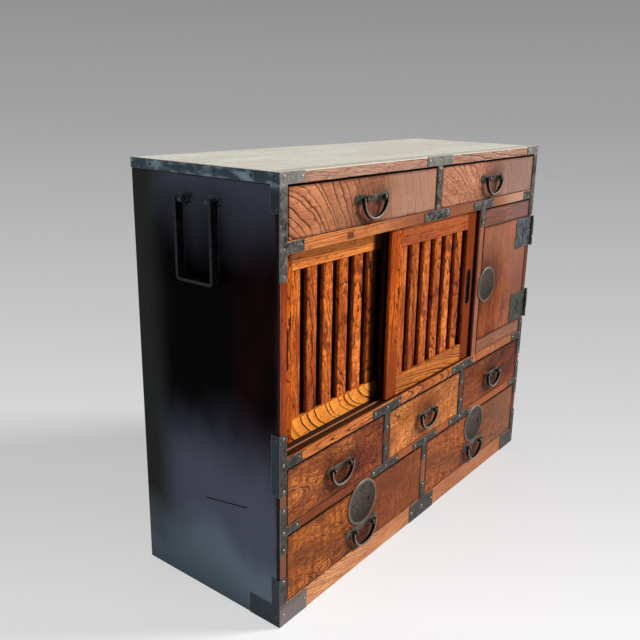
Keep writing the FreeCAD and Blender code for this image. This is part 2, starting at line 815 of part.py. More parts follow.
def corner_straps(side, sill_strap_rise):
    """The four straps down one front corner of the case."""
    inset = strap_inset
    top_low = top_rail_bottom + inset
    upper_low = upper_rail_bottom + inset
    upper_high = upper_rail_top - inset
    top_foot = upper_rail_bottom - corner_drop
    top = join([stile_plate(side, top_foot, case_height),
                rail_arm(side, corner_arm, top_low, case_height),
                rail_arm(side, corner_arm, upper_low, upper_high),
                wrap(side, case_height - corner_wrap_height, case_height)])
    nail_stile(side, (top_foot + nail_end_gap, upper_low + nail_end_gap, case_height - nail_end_gap))
    nail_wrap(side, (case_height - corner_wrap_height + nail_end_gap, case_height - nail_end_gap))
    sill_foot = sill_bottom - sill_strap_down
    sill_head = sill_top + sill_strap_rise
    sill = join([stile_plate(side, sill_foot, sill_head),
                 rail_arm(side, sill_arm, sill_bottom + inset, sill_top - inset),
                 wrap(side, sill_foot, sill_head)])
    sill_levels = (sill_foot + nail_end_gap, (sill_bottom + sill_top) / 2, sill_head - nail_end_gap)
    nail_stile(side, sill_levels)
    nail_wrap(side, (sill_foot + nail_end_gap, sill_head - nail_end_gap))
    lower_foot = lower_rail_bottom - lower_strap_down
    lower_head = lower_rail_top + lower_strap_up
    lower = join([front_plate(*sorted((side * half_width, side * (inner_half + inset))),
                              lower_foot, lower_head),
                  rail_arm(side, lower_arm, lower_rail_bottom + inset, lower_rail_top - inset)])
    lower_levels = (lower_foot + nail_end_gap, (lower_rail_bottom + lower_rail_top) / 2,
                    lower_head - nail_end_gap)
    nail_stile(side, lower_levels)
    base_head = base_top + base_strap_up
    base = join([stile_plate(side, strap_floor_gap, base_head),
                 rail_arm(side, base_arm, strap_floor_gap, base_top - inset),
                 wrap(side, strap_floor_gap, base_head),
                 side_plate(side, front_y, front_y + base_wrap_depth, strap_floor_gap, base_top - inset)])
    nail_stile(side, (base_top / 2, base_head - nail_end_gap))
    nail_wrap(side, (base_top / 2, base_head - nail_end_gap))
    nail_side(side, front_y + base_wrap_depth - nail_end_gap, base_top / 2)
    return [top, sill, lower, base]


def top_edge_strap(side):
    """A strip along the top edge of a case side, from the corner strap to the back."""
    low = top_rail_bottom + strap_inset
    start = front_y + strap_wrap
    length = back_y - start
    middle = (low + case_height) / 2
    for share in nail_row_shares:
        nail_side(side, start + share * length, middle)
    return side_plate(side, start, back_y, low, case_height)


nail_row_shares = (0.12, 0.36, 0.6, 0.84, 0.97)

case_boards()
case_partitions()
front_rails()
all_drawers()
sliding_door("left", -inner_half + left_door_ajar, door_plane_y[1], True)
sliding_door("right", post_left - right_door_ajar - door_width, door_plane_y[0], False)
hinged_door()
save("left_carrying_loop", [carrying_loop(-1)])
save("right_carrying_loop", [carrying_loop(1)])
save("carrying_loop_mounts", [carrying_mount(side, end) for side in (-1, 1) for end in (-1, 1)])
corner_pieces = corner_straps(-1, sill_strap_up) + corner_straps(1, sill_strap_up_hinge_side)
edge_pieces = [top_edge_strap(-1), top_edge_strap(1)]
save("iron_brackets", corner_pieces + edge_pieces + tee_straps())
save("bracket_nails", [domed_nail(place, outwards) for place, outwards in nail_places])
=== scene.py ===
import math

import bmesh
import bpy
from mathutils import Matrix, Vector


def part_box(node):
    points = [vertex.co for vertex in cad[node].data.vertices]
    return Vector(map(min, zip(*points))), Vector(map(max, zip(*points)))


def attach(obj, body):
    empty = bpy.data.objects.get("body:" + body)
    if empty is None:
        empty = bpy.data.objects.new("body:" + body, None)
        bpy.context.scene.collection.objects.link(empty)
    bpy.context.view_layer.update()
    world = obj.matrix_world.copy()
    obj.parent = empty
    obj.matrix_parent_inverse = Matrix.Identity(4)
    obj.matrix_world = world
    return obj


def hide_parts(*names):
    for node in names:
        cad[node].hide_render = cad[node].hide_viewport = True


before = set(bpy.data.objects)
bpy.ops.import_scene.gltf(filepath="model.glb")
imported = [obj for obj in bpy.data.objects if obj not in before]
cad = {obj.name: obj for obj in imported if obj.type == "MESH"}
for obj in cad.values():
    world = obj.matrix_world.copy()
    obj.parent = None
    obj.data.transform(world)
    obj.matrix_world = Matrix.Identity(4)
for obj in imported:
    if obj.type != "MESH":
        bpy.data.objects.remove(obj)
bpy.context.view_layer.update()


# Side panels. Each is a wide softwood board behind the front stile, lacquered black. The coat
# has gone slate grey near the top, and red-brown shows through it low down towards the front.
def tone(red, green, blue):
    """A colour as a paint chart gives it, from 0 to 255, in the units that shaders use."""
    linear = []
    for part in (red, green, blue):
        share = part / 255
        linear.append(share / 12.92 if share <= 0.04045 else ((share + 0.055) / 1.055) ** 2.4)
    return (*linear, 1.0)


def place(tree, kind, inputs=None, **settings):
    """Adds one shader node, sets it, and wires or fills its inputs."""
    node = tree.nodes.new(kind)
    for key, value in settings.items():
        setattr(node, key, value)
    for key, value in (inputs or {}).items():
        if isinstance(value, bpy.types.NodeSocket):
            tree.links.new(value, node.inputs[key])
        else:
            node.inputs[key].default_value = value
    return node


def reckon(tree, operation, *values):
    """One sum on numbers that change over a surface."""
    return place(tree, "ShaderNodeMath", dict(enumerate(values)), operation=operation).outputs[0]


def times(tree, first, *others):
    """The product of several masks and depths."""
    for other in others:
        first = reckon(tree, "MULTIPLY", first, other)
    return first


def shift(tree, value, scale, start):
    """A value scaled and then added to a start."""
    return reckon(tree, "MULTIPLY_ADD", value, scale, start)


def vary(tree, operation, *vectors):
    """One sum on vectors that change over a surface."""
    node = place(tree, "ShaderNodeVectorMath", dict(enumerate(vectors)), operation=operation)
    return node.outputs["Value" if operation in ("DISTANCE", "DOT_PRODUCT", "LENGTH") else "Vector"]


def split(tree, vector):
    """The three parts of a vector, by the names X, Y and Z."""
    return place(tree, "ShaderNodeSeparateXYZ", {0: vector}).outputs


def cloud(tree, vector, per_metre, detail=2.0):
    """Soft noise from 0 to 1, with its own count of blotches per metre along each axis."""
    spread = vary(tree, "MULTIPLY", vector, per_metre)
    noise = place(tree, "ShaderNodeTexNoise", {"Vector": spread, "Scale": 1.0, "Detail": detail})
    return noise.outputs["Fac"]


def rise(tree, value, low, high):
    """A smooth step from 0 to 1 as a value goes from low to high."""
    limits = {"Value": value, "From Min": low, "From Max": high}
    return place(tree, "ShaderNodeMapRange", limits, interpolation_type="SMOOTHSTEP").outputs["Result"]


def mix(tree, under, over, share, depth=None, kind="MIX"):
    """One colour laid over another where a mask says, and only to a depth if one is given."""
    if depth is not None:
        share = times(tree, share, depth)
    inputs = {0: share, 6: under, 7: over}
    return place(tree, "ShaderNodeMix", inputs, data_type="RGBA", blend_type=kind).outputs[2]


def open_finish(name):
    """A new finish: its node tree, its shader and the place of each point on the chest."""
    material = bpy.data.materials.new(name)
    material.use_nodes = True
    tree = material.node_tree
    spot = tree.nodes.new("ShaderNodeTexCoord").outputs["Object"]
    return material, tree, tree.nodes["Principled BSDF"], spot


def close_finish(tree, shader, colour, rough, shine, height, depth):
    """Wires up a finish; a height from 0 to 1 dents the surface by a depth in metres."""
    bump = place(tree, "ShaderNodeBump", {"Height": height, "Strength": 1.0, "Distance": depth})
    tree.links.new(colour, shader.inputs["Base Color"])
    tree.links.new(rough, shader.inputs["Roughness"])
    tree.links.new(bump.outputs["Normal"], shader.inputs["Normal"])
    shader.inputs["Specular IOR Level"].default_value = shine


def dress(piece, material):
    piece.data.materials.clear()
    piece.data.materials.append(material)


def dress_node(node, material, ease):
    """Dresses a CAD solid, joins its faces and takes the sharpness off its edges."""
    weld = cad[node].modifiers.new("joined_faces", "WELD")
    weld.merge_threshold = 1e-5
    bevel = cad[node].modifiers.new("eased_edges", "BEVEL")
    bevel.width = ease
    bevel.segments = 2
    bevel.limit_method = "ANGLE"
    bevel.angle_limit = math.radians(40)
    dress(cad[node], material)


board_ease = 0.0012
brush_depth = 0.0004
lacquer_shine = 0.012
case_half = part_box("right_side_panel")[1].x
panel_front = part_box("left_side_panel")[0].y
# Where each cast of the lacquer begins and where it is full: heights above the floor for above
# and below, places from front to back for before and behind.
slate_above = (0.78, 1.02)
slate_below = (0.36, 0.10)
bloom_below = (0.06, -0.07)
olive_behind = (0.13, 0.22)
red_before = (-0.04, -0.17)
red_below = (0.84, 0.66)
red_above = (0.30, 0.50)
rubbed_before = (panel_front + 0.0060, panel_front + 0.0015)
# A long scratch on the left panel: its height at mid depth, its slope, and where it fades out.
scratch_level = 0.2193
scratch_slope = 0.162
scratch_edge = (0.0018, 0.0008)
scratch_before = (0.012, 0.004)
scratch_behind = (-0.114, -0.106)
left_only = (0.1, -0.1)


def black_lacquer():
    material, tree, shader, spot = open_finish("black_lacquer")
    axes = split(tree, spot)
    brush = cloud(tree, spot, (30, 160, 2.5), 3)
    blotch = cloud(tree, spot, (5, 6, 4), 4)
    high = shift(tree, blotch, 0.2, axes["Z"])
    colour = mix(tree, tone(3, 3, 4), tone(80, 83, 97), rise(tree, high, *slate_above))
    low = shift(tree, blotch, -0.25, axes["Z"])
    colour = mix(tree, colour, tone(94, 98, 115), rise(tree, low, *slate_below))
    back = shift(tree, blotch, 0.1, axes["Y"])
    colour = mix(tree, colour, tone(50, 53, 49), rise(tree, back, *olive_behind))
    half_up = times(tree, rise(tree, axes["Z"], *red_below), rise(tree, axes["Z"], *red_above))
    ruddy = times(tree, rise(tree, axes["Y"], *red_before), half_up, rise(tree, blotch, 0.3, 0.6))
    colour = mix(tree, colour, tone(48, 14, 12), ruddy, 0.8)
    colour = mix(tree, colour, tone(52, 54, 60), rise(tree, brush, 0.5, 0.8), 0.1)
    rubbed = times(tree, rise(tree, axes["Y"], *rubbed_before), rise(tree, blotch, 0.38, 0.5))
    colour = mix(tree, colour, tone(70, 30, 20), rubbed)
    colour = mix(tree, colour, tone(124, 142, 154), rise(tree, low, *bloom_below), 0.8)
    level = shift(tree, axes["Y"], scratch_slope, axes["Z"])
    off_scratch = reckon(tree, "ABSOLUTE", reckon(tree, "SUBTRACT", level, scratch_level))
    within = times(tree, rise(tree, axes["Y"], *scratch_before), rise(tree, axes["Y"], *scratch_behind))
    scratch = times(tree, rise(tree, off_scratch, *scratch_edge), within)
    scratch = times(tree, scratch, rise(tree, axes["X"], *left_only))
    colour = mix(tree, colour, tone(12, 12, 14), scratch)
    close_finish(tree, shader, colour, shift(tree, brush, 0.3, 0.3), lacquer_shine, brush, brush_depth)
    return material


lacquer = black_lacquer()
for node in ("left_side_panel", "right_side_panel"):
    dress_node(node, lacquer, board_ease)


# Top board. One wide plank behind the top rail, lying on the sides; the sun has bleached it to
# a pale straw grey. Its growth rings run from side to side as long faint arches.
def open_group(name, inputs, outputs):
    """A node group that several finishes share, with named sockets."""
    tree = bpy.data.node_groups.new(name, "ShaderNodeTree")
    for socket, kind in inputs.items():
        tree.interface.new_socket(socket, in_out="INPUT", socket_type="NodeSocket" + kind)
    for socket, kind in outputs.items():
        tree.interface.new_socket(socket, in_out="OUTPUT", socket_type="NodeSocket" + kind)
    return tree, tree.nodes.new("NodeGroupInput").outputs, tree.nodes.new("NodeGroupOutput").inputs


def ring_grain():
    """Growth rings on a board, from a place given along, across and into its grain."""
    inputs = {"Place": "Vector", "Pale": "Color", "Deep": "Color", "Line": "Color"}
    values = ("Ring", "Slope", "Wobble", "Lines", "Mottle", "Curl", "Threads")
    inputs.update(dict.fromkeys(values, "Float"))
    outputs = {"Color": "Color", "Pores": "Float", "Height": "Float"}
    tree, given, made = open_group("ring_grain", inputs, outputs)
    spot, pale, deep, dark = (given[key] for key in ("Place", "Pale", "Deep", "Line"))
    axes = split(tree, spot)
    broad = reckon(tree, "SUBTRACT", cloud(tree, spot, (3.5, 11, 11), 1.5), 0.5)
    swirl = reckon(tree, "SUBTRACT", cloud(tree, spot, (18, 38, 38), 2), 0.5)
    bend = times(tree, shift(tree, swirl, 0.35, broad), given["Wobble"])
    across = reckon(tree, "ADD", axes["Y"], bend)
    depth = reckon(tree, "ADD", shift(tree, axes["X"], given["Slope"], axes["Z"]), bend)
    square = shift(tree, across, across, times(tree, depth, depth))
    radius = reckon(tree, "DIVIDE", reckon(tree, "SQRT", square), given["Ring"])
    uneven = {"W": radius, "Scale": 0.6, "Detail": 1.0}
    years = place(tree, "ShaderNodeTexNoise", uneven, noise_dimensions="1D").outputs["Fac"]
    phase = shift(tree, years, 2.0, radius)
    within = reckon(tree, "FRACT", phase)
    count = {"W": reckon(tree, "FLOOR", phase)}
    chance = place(tree, "ShaderNodeTexWhiteNoise", count, noise_dimensions="1D").outputs["Value"]
    edge = times(tree, rise(tree, within, 0.0, 0.05), rise(tree, within, 0.36, 0.1))
    band_tone = rise(tree, cloud(tree, spot, (9, 30, 30), 2), 0.25, 0.5)
    strength = times(tree, shift(tree, chance, 0.75, 0.25), band_tone)
    line = times(tree, edge, strength, given["Lines"])
    specks = rise(tree, cloud(tree, spot, (60, 800, 800), 1), 0.54, 0.68)
    pores = times(tree, specks, shift(tree, rise(tree, within, 0.7, 0.0), 0.7, 0.3))
    patchy = rise(tree, cloud(tree, spot, (5, 14, 14), 4), 0.34, 0.66)
    colour = mix(tree, pale, deep, patchy, given["Mottle"])
    figure = rise(tree, cloud(tree, spot, (75, 20, 20), 3), 0.44, 0.6)
    colour = mix(tree, colour, deep, figure, given["Curl"])
    flecks = cloud(tree, spot, (260, 120, 120), 3)
    colour = mix(tree, colour, deep, rise(tree, flecks, 0.52, 0.62), given["Curl"])
    # Lighter flecks and lighter threads, laid on with Screen, are a painted glint of the figure.
    painted_glint_depth = times(tree, given["Curl"], 0.3)
    colour = mix(tree, colour, pale, rise(tree, flecks, 0.47, 0.37), painted_glint_depth, "SCREEN")
    threads = cloud(tree, spot, (22, 210, 210), 3)
    colour = mix(tree, colour, deep, rise(tree, threads, 0.5, 0.66), given["Threads"])
    colour = mix(tree, colour, pale, rise(tree, threads, 0.46, 0.3), 0.3, "SCREEN")
    dashes = rise(tree, cloud(tree, spot, (45, 190, 190), 2), 0.6, 0.68)
    colour = mix(tree, colour, dark, dashes, given["Threads"])
    colour = mix(tree, colour, deep, rise(tree, within, 1.0, 0.1), times(tree, given["Lines"], 0.4))
    colour = mix(tree, colour, dark, line)
    colour = mix(tree, colour, dark, pores, 0.6)
    tree.links.new(colour, made["Color"])
    tree.links.new(pores, made["Pores"])
    groove = reckon(tree, "MAXIMUM", pores, times(tree, line, 0.6))
    tree.links.new(reckon(tree, "SUBTRACT", 1.0, groove), made["Height"])
    return tree


gap_shadow_width = (0.0019, 0.0008)


def hand_wear():
    """Darkening along a board's edges, part dirt and part painted shade, a painted shadow line at its rim
    for the gap round it, and dirt round the places where it was held or stained.
    """
    inputs = dict.fromkeys(("Place", "Low", "High", "Skip", "Hand", "Stain"), "Vector")
    inputs.update(dict.fromkeys(("Reach", "Hand Reach", "Stain Reach"), "Float"))
    outputs = dict.fromkeys(("Edge Dirt And Shade", "Gap Shadow", "Grime", "Stain"), "Float")
    tree, given, made = open_group("hand_wear", inputs, outputs)
    spot = given["Place"]
    from_low = vary(tree, "SUBTRACT", spot, given["Low"])
    near = vary(tree, "MINIMUM", from_low, vary(tree, "SUBTRACT", given["High"], spot))
    gaps = split(tree, vary(tree, "ADD", near, given["Skip"]))
    gap = reckon(tree, "MINIMUM", reckon(tree, "MINIMUM", gaps["X"], gaps["Y"]), gaps["Z"])
    patchy = cloud(tree, spot, (28, 28, 28), 3)
    ragged = reckon(tree, "SUBTRACT", reckon(tree, "DIVIDE", gap, given["Reach"]), patchy)
    tree.links.new(rise(tree, ragged, 0.6, -0.5), made["Edge Dirt And Shade"])
    tree.links.new(rise(tree, gap, *gap_shadow_width), made["Gap Shadow"])
    far = reckon(tree, "DIVIDE", vary(tree, "DISTANCE", spot, given["Hand"]), given["Hand Reach"])
    tree.links.new(rise(tree, shift(tree, patchy, 0.7, far), 1.35, 0.5), made["Grime"])
    off = reckon(tree, "DIVIDE", vary(tree, "DISTANCE", spot, given["Stain"]), given["Stain Reach"])
    tree.links.new(rise(tree, shift(tree, patchy, 0.6, off), 1.3, 0.9), made["Stain"])
    return tree


rings = ring_grain()
wear = hand_wear()
# The way that a board's length, width and thickness lie on the chest.
sideways = Matrix(((1, 0, 0), (0, 0, 1), (0, -1, 0)))
upright = Matrix(((0, 0, 1), (1, 0, 0), (0, 1, 0)))
flat = Matrix(((1, 0, 0), (0, 1, 0), (0, 0, 1)))
inwards = Matrix(((0, 1, 0), (0, 0, 1), (1, 0, 0)))
nowhere = Vector((0, 0, -9))


def grain(tree, spot, lie, heart, tones, apart=None, **look):
    """Growth rings in a finish, closing round a point named heart, on a board that lies one way."""
    turn = {"Vector": spot, "Rotation": lie.to_euler(), "Location": -(lie @ Vector(heart))}
    laid = place(tree, "ShaderNodeMapping", turn).outputs[0]
    if apart:
        laid = vary(tree, "ADD", laid, apart)
    sockets = {"Place": laid, "Pale": tones[0], "Deep": tones[1], "Line": tones[2]}
    sockets.update({key.capitalize(): value for key, value in look.items()})
    return place(tree, "ShaderNodeGroup", sockets, node_tree=rings).outputs


board_shift_along = 0.731
board_shift_inwards = 0.0037


def board_jump(tree, across, first, pitch):
    """How far apart in the tree the boards of a row were cut."""
    count = reckon(tree, "FLOOR", reckon(tree, "DIVIDE", reckon(tree, "SUBTRACT", across, first), pitch))
    steps = (board_shift_along, -pitch, board_shift_inwards)
    jumps = {axis: times(tree, count, step) for axis, step in enumerate(steps)}
    return place(tree, "ShaderNodeCombineXYZ", jumps).outputs[0]


# Darkening along edges, part dirt and part painted shade.
edge_dirt_and_shade = tone(134, 98, 86)
edge_reach = 0.007
hand_grime = tone(150, 124, 120)
old_stain = tone(184, 150, 154)
# The near-black painted shadow line in the gap at a board's rim, and how far behind the front it reaches.
painted_gap_shadow = tone(10, 5, 4)
gap_shadow_before = (0.008, 0.004)
pore_depth = 0.0004


def oiled_wood(
    name, lie, heart, tones, ring=0.006, slope=0.1, wobble=0.02, lines=0.9, mottle=0.8, curl=0.0,
    threads=0.65, gloss=0.4, shine=0.08, corners=None, skip=(0, 1, 0), edge_depth=0.7,
    hand=nowhere, hand_reach=0.11, stain=nowhere, stain_reach=0.1, slats=None, fades_and_painted_light=(), dirt_and_shade=(),
):
    """A board whose rings close round a point named heart; it may have dirt and painted shade at its edges,
    grime round its handle, and bands of tone, some real and some painted shade and highlight.
    """
    material, tree, shader, spot = open_finish(name)
    axes = split(tree, spot)
    apart = board_jump(tree, axes["X"], *slats) if slats else None
    figure = grain(
        tree, spot, lie, heart, tones, apart, ring=ring, slope=slope, wobble=wobble,
        lines=lines, mottle=mottle, curl=curl, threads=threads,
    )
    colour = figure["Color"]
    # Tones laid over part of a board: some are real fading, others painted reflection and painted shade.
    for axis, start, end, depth, band_tone in fades_and_painted_light:
        drift = shift(tree, cloud(tree, spot, (9, 9, 9), 3), 0.1, axes[axis])
        colour = mix(tree, colour, band_tone, rise(tree, drift, start, end), depth)
    if corners:
        low, high = corners
        use = {"Place": spot, "Low": low, "High": high, "Skip": skip, "Reach": edge_reach, "Hand": hand,
               "Hand Reach": hand_reach, "Stain": stain, "Stain Reach": stain_reach}
        age = place(tree, "ShaderNodeGroup", use, node_tree=wear).outputs
        colour = mix(tree, colour, edge_dirt_and_shade, age["Edge Dirt And Shade"], edge_depth, "MULTIPLY")
        colour = mix(tree, colour, hand_grime, age["Grime"], 0.85, "MULTIPLY")
        colour = mix(tree, colour, old_stain, age["Stain"], 0.85, "MULTIPLY")
        # The rim is a near-black painted shadow line where a board meets the gap round it.
        rim = times(tree, age["Gap Shadow"], min(1.35 * edge_depth, 1.0))
        if skip[1]:
            start, end = gap_shadow_before
            rim = times(tree, rim, rise(tree, axes["Y"], low[1] + start, low[1] + end))
        colour = mix(tree, colour, painted_gap_shadow, rim)
    # Bands along an axis: real paint and bleaching, and painted shade in recesses and gaps, with a painted
    # highlight on the groove lip.
    for axis, start, end, laid_tone in dirt_and_shade:
        along = axes[axis[-1]]
        if axis.startswith("outer"):
            along = reckon(tree, "ABSOLUTE", along)
        colour = mix(tree, colour, laid_tone, rise(tree, along, start, end), 0.94)
    rough = shift(tree, figure["Pores"], 0.3, gloss)
    close_finish(tree, shader, colour, rough, shine, figure["Height"], pore_depth)
    return material


straw_tones = (tone(240, 238, 226), tone(218, 212, 194), tone(172, 158, 132))
lacquer_black = tone(16, 15, 16)
top_ease = 0.0015
bleached_top = oiled_wood(
    "bleached_top", flat, (-0.9, 0.02, 0.94), straw_tones, ring=0.008, slope=0.04, wobble=0.03, lines=0.7,
    mottle=0.6, gloss=0.55, threads=0.25, corners=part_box("top_panel"), skip=(0, 0, 1), edge_depth=0.35,
    dirt_and_shade=[("outer X", case_half - 0.0020, case_half - 0.0010, lacquer_black)],
)
dress_node("top_panel", bleached_top, top_ease)


# Inner boards. Bottom, shelves, runners and back are sawn cedar, nailed on from outside. The inside is
# painted nearly black, as shade; the back is pale, in four boards edge to edge.
back_low, back_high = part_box("back_boards")
back_board_count = 4
back_board_width = (back_high.x - back_low.x) / back_board_count
back_board_ease = 0.002
saw_mark_depth = 0.0006
cedar_shine = 0.15
cedar_tones = (tone(172, 138, 104), tone(140, 104, 74), tone(96, 66, 44))
cedar_heart = (back_low.x + 0.4 * back_board_width, 0.155, -0.1)
seam_edge = (0.488, 0.496)
# Where the pale outside begins, at the back and underneath.
pale_behind = (back_high.y - 0.007, back_high.y - 0.002)
pale_below = (0.012, 0.004)


def sawn_cedar():
    """Bare cedar, pale outside; inside the closed case it is painted nearly black as shade."""
    material, tree, shader, spot = open_finish("sawn_cedar")
    axes = split(tree, spot)
    apart = board_jump(tree, axes["X"], back_low.x, back_board_width)
    figure = grain(
        tree, spot, upright, cedar_heart, cedar_tones, apart, ring=0.007, slope=0.03, wobble=0.03,
        lines=0.6, mottle=0.8, curl=0.0, threads=0.4,
    )
    boards_in = reckon(tree, "DIVIDE", reckon(tree, "SUBTRACT", axes["X"], back_low.x), back_board_width)
    off_middle = reckon(tree, "ABSOLUTE", reckon(tree, "SUBTRACT", reckon(tree, "FRACT", boards_in), 0.5))
    colour = mix(tree, figure["Color"], tone(50, 35, 25), rise(tree, off_middle, *seam_edge))
    behind = rise(tree, axes["Y"], *pale_behind)
    outside = reckon(tree, "MAXIMUM", behind, rise(tree, axes["Z"], *pale_below))
    # Inside the case the cedar is painted nearly black: painted shade.
    colour = mix(tree, tone(9, 6, 5), colour, outside)
    rough = shift(tree, figure["Pores"], 0.2, 0.65)
    close_finish(tree, shader, colour, rough, cedar_shine, figure["Height"], saw_mark_depth)
    return material


def plank(shape, low, high, ease=board_ease):
    """Adds a planed board between two corners to a shape, with its edges eased."""
    low = Vector(low)
    size = Vector(high) - low
    corners = bmesh.ops.create_cube(shape, size=1.0)["verts"]
    for corner in corners:
        share = corner.co + Vector((0.5, 0.5, 0.5))
        corner.co = low + Vector((share.x * size.x, share.y * size.y, share.z * size.z))
    edges = list({edge for corner in corners for edge in corner.link_edges})
    bmesh.ops.bevel(shape, geom=edges, offset=ease, segments=2, profile=0.5, affect="EDGES")


def piece(name, shape, body, slot, material, node=None):
    """Makes a finished shape a piece of the chest on one of its bodies, perhaps in a node's place."""
    mesh = bpy.data.meshes.new(name)
    bmesh.ops.recalc_face_normals(shape, faces=shape.faces[:])
    shape.to_mesh(mesh)
    shape.free()
    made = bpy.data.objects.new(name, mesh)
    bpy.context.scene.collection.objects.link(made)
    dress(made, material)
    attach(made, body)
    if node:
        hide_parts(node)


cedar = sawn_cedar()
for node in ("bottom_panel", "shelf_boards", "bottom_runners"):
    dress_node(node, cedar, board_ease)
for number in range(back_board_count):
    left = back_low.x + number * back_board_width
    right = left + back_board_width
    shape = bmesh.new()
    plank(shape, (left, back_low.y, back_low.z), (right, back_high.y, back_high.z), back_board_ease)
    piece("back_board_" + str(number + 1), shape, "case", "inner_cedar", cedar, "back_boards")


# Front frame. Stiles, rails and uprights of keyaki, a hard elm-like wood, are tenoned together
# and planed flush. The rails are rubbed orange; the top rail is faded to a dusty pink.
rail_tones = (tone(216, 128, 66), tone(164, 86, 38), tone(62, 25, 9))
bright_tones = (tone(250, 158, 92), tone(196, 112, 58), tone(76, 32, 12))
dull_tones = (tone(142, 73, 33), tone(100, 47, 19), tone(46, 17, 6))
sooty_tones = (tone(112, 76, 56), tone(80, 50, 35), tone(40, 22, 14))
worn_tones = (tone(152, 94, 62), tone(110, 62, 38), tone(56, 27, 15))
faded_tones = (tone(196, 154, 132), tone(160, 112, 90), tone(84, 44, 30))
stile_tones = (tone(180, 80, 32), tone(110, 40, 12), tone(40, 13, 5))
base_tones = (tone(216, 154, 108), tone(176, 108, 66), tone(92, 46, 24))
post_tones = (tone(190, 124, 90), tone(144, 80, 52), tone(84, 42, 26))
recess_shade_brown = tone(18, 7, 4)
front_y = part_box("top_rail")[0].y
case_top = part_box("top_rail")[1].z
groove_wall_inset = 0.0245
groove_wall_y = front_y + groove_wall_inset
# Painted shade in recesses, a painted highlight, real paint, bleaching and fading: an axis, the places
# where it begins and is full, for fading a depth, and its tone.
# Near black going back from the front face into the openings: painted shade.
painted_recess_shade = ("Y", front_y + 0.0012, front_y + 0.006, recess_shade_brown)
# A light line at the groove wall is a painted highlight, with painted shade again behind it.
groove_lip_highlight_and_shade = [("Y", groove_wall_y - 0.0006, groove_wall_y - 0.0003, tone(176, 112, 78)),
              ("Y", groove_wall_y + 0.0002, groove_wall_y + 0.0005, recess_shade_brown)]
outer_black = ("outer X", case_half - 0.0015, case_half - 0.0003, lacquer_black)
shaded_stile = ("X", 0.50, 0.51, tone(104, 52, 34))
smoky_foot = ("Z", 0.36, 0.30, tone(110, 74, 58))
bleached_crown = ("Z", case_top - 0.0025, case_top - 0.0012, straw_tones[1])
# Each rail takes other tones towards its right: the pale pink at the right end of the upper rail is a
# painted reflection, the rest darken or dull the wood.
rail_end_tones = {
    "upper_rail": [("X", -0.32, -0.02, 0.85, tone(128, 73, 47)),
                   ("X", 0.32, 0.48, 0.85, tone(192, 146, 122))],
    "sill_rail": [("X", 0.10, 0.50, 0.6, tone(146, 88, 62))],
    "lower_rail": [("X", -0.25, 0.0, 0.7, tone(170, 92, 50))],
    "base_rail": [("X", -0.2, 0.3, 0.6, tone(150, 88, 58))],
}
# The way each board lies, the heart of its tree, its tones, ring width, slope, and its bands of paint,
# bleaching and painted shade.
frame_boards = {
    "front_stiles": (upright, (-0.57, front_y + 0.03, 0.3), stile_tones, 0.004, 0.04,
                     [smoky_foot, shaded_stile, painted_recess_shade, outer_black]),
    "top_rail": (sideways, (-1.2, front_y, 0.80), faded_tones, 0.0045, 0.07, [painted_recess_shade, bleached_crown]),
    "upper_rail": (sideways, (-0.6, front_y + 0.01, 0.80), bright_tones, 0.004, 0.03, [painted_recess_shade]),
    "sill_rail": (sideways, (-0.28, front_y, 0.352), rail_tones, 0.005, 0.10, [painted_recess_shade, *groove_lip_highlight_and_shade]),
    "lower_rail": (sideways, (-0.5, front_y, 0.17), dull_tones, 0.004, 0.06, [painted_recess_shade]),
    "base_rail": (sideways, (-0.1, front_y, 0.075), base_tones, 0.0045, 0.2, []),
    "centre_partitions": (upright, (0.03, front_y, 0.3), worn_tones, 0.004, 0.03, [painted_recess_shade]),
    "middle_partitions": (upright, (0.03, front_y, 0.3), sooty_tones, 0.004, 0.03, [painted_recess_shade]),
    "door_partition": (upright, (0.25, front_y, 0.3), post_tones, 0.005, 0.03, [painted_recess_shade]),
}
for node, (lie, heart, tones, ring, slope, dirt_and_shade) in frame_boards.items():
    wood = oiled_wood(
        "keyaki_" + node, lie, heart, tones, ring=ring, slope=slope, wobble=0.015, lines=1.3,
        fades_and_painted_light=rail_end_tones.get(node, ()), dirt_and_shade=dirt_and_shade,
    )
    dress_node(node, wood, board_ease)
peg_stand_out = 0.0006
peg_low = Vector((-0.344, front_y - peg_stand_out, 0.759))
peg_size = Vector((0.020, 0.010, 0.013))
peg_ease = 0.0006
peg_tones = (tone(120, 66, 42), tone(96, 50, 32), tone(60, 30, 20))
shape = bmesh.new()
plank(shape, peg_low, peg_low + peg_size, peg_ease)
piece("rail_peg", shape, "case", "keyaki_front", oiled_wood("peg_wood", inwards, peg_low, peg_tones))


# Sliding doors. Each is a frame of two stiles and two rails round six upright slats, tenoned
# and oiled bright orange, with a tongue above and below that runs in the grooves of the rails.
stile_width = 0.040
rail_height = 0.044
slat_count = 6
slat_width = 0.030
slat_thickness = 0.011
slat_recess = 0.004
tongue_width = 0.008
tongue_drop = 0.004
tongue_rise = 0.008
tongue_root = 0.010
tongue_ease = 0.0005
pocket_ease = 0.0006
slat_tones = (tone(250, 136, 54), tone(154, 63, 15), tone(46, 14, 3))
stile_orange = (tone(238, 116, 6), tone(168, 68, 2), tone(58, 20, 3))
# Near-black painted shade for the gaps behind door fronts and between slats, and for one door's shadow on
# the other.
painted_gap_shade = tone(8, 4, 3)
# The right door stands in front of the left one; its shadow on the left one, from a little before its edge,
# is painted in near black.
shade_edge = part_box("right_sliding_door")[0].x
door_shade = ("X", shade_edge - 0.0363, shade_edge - 0.0183, painted_gap_shade)
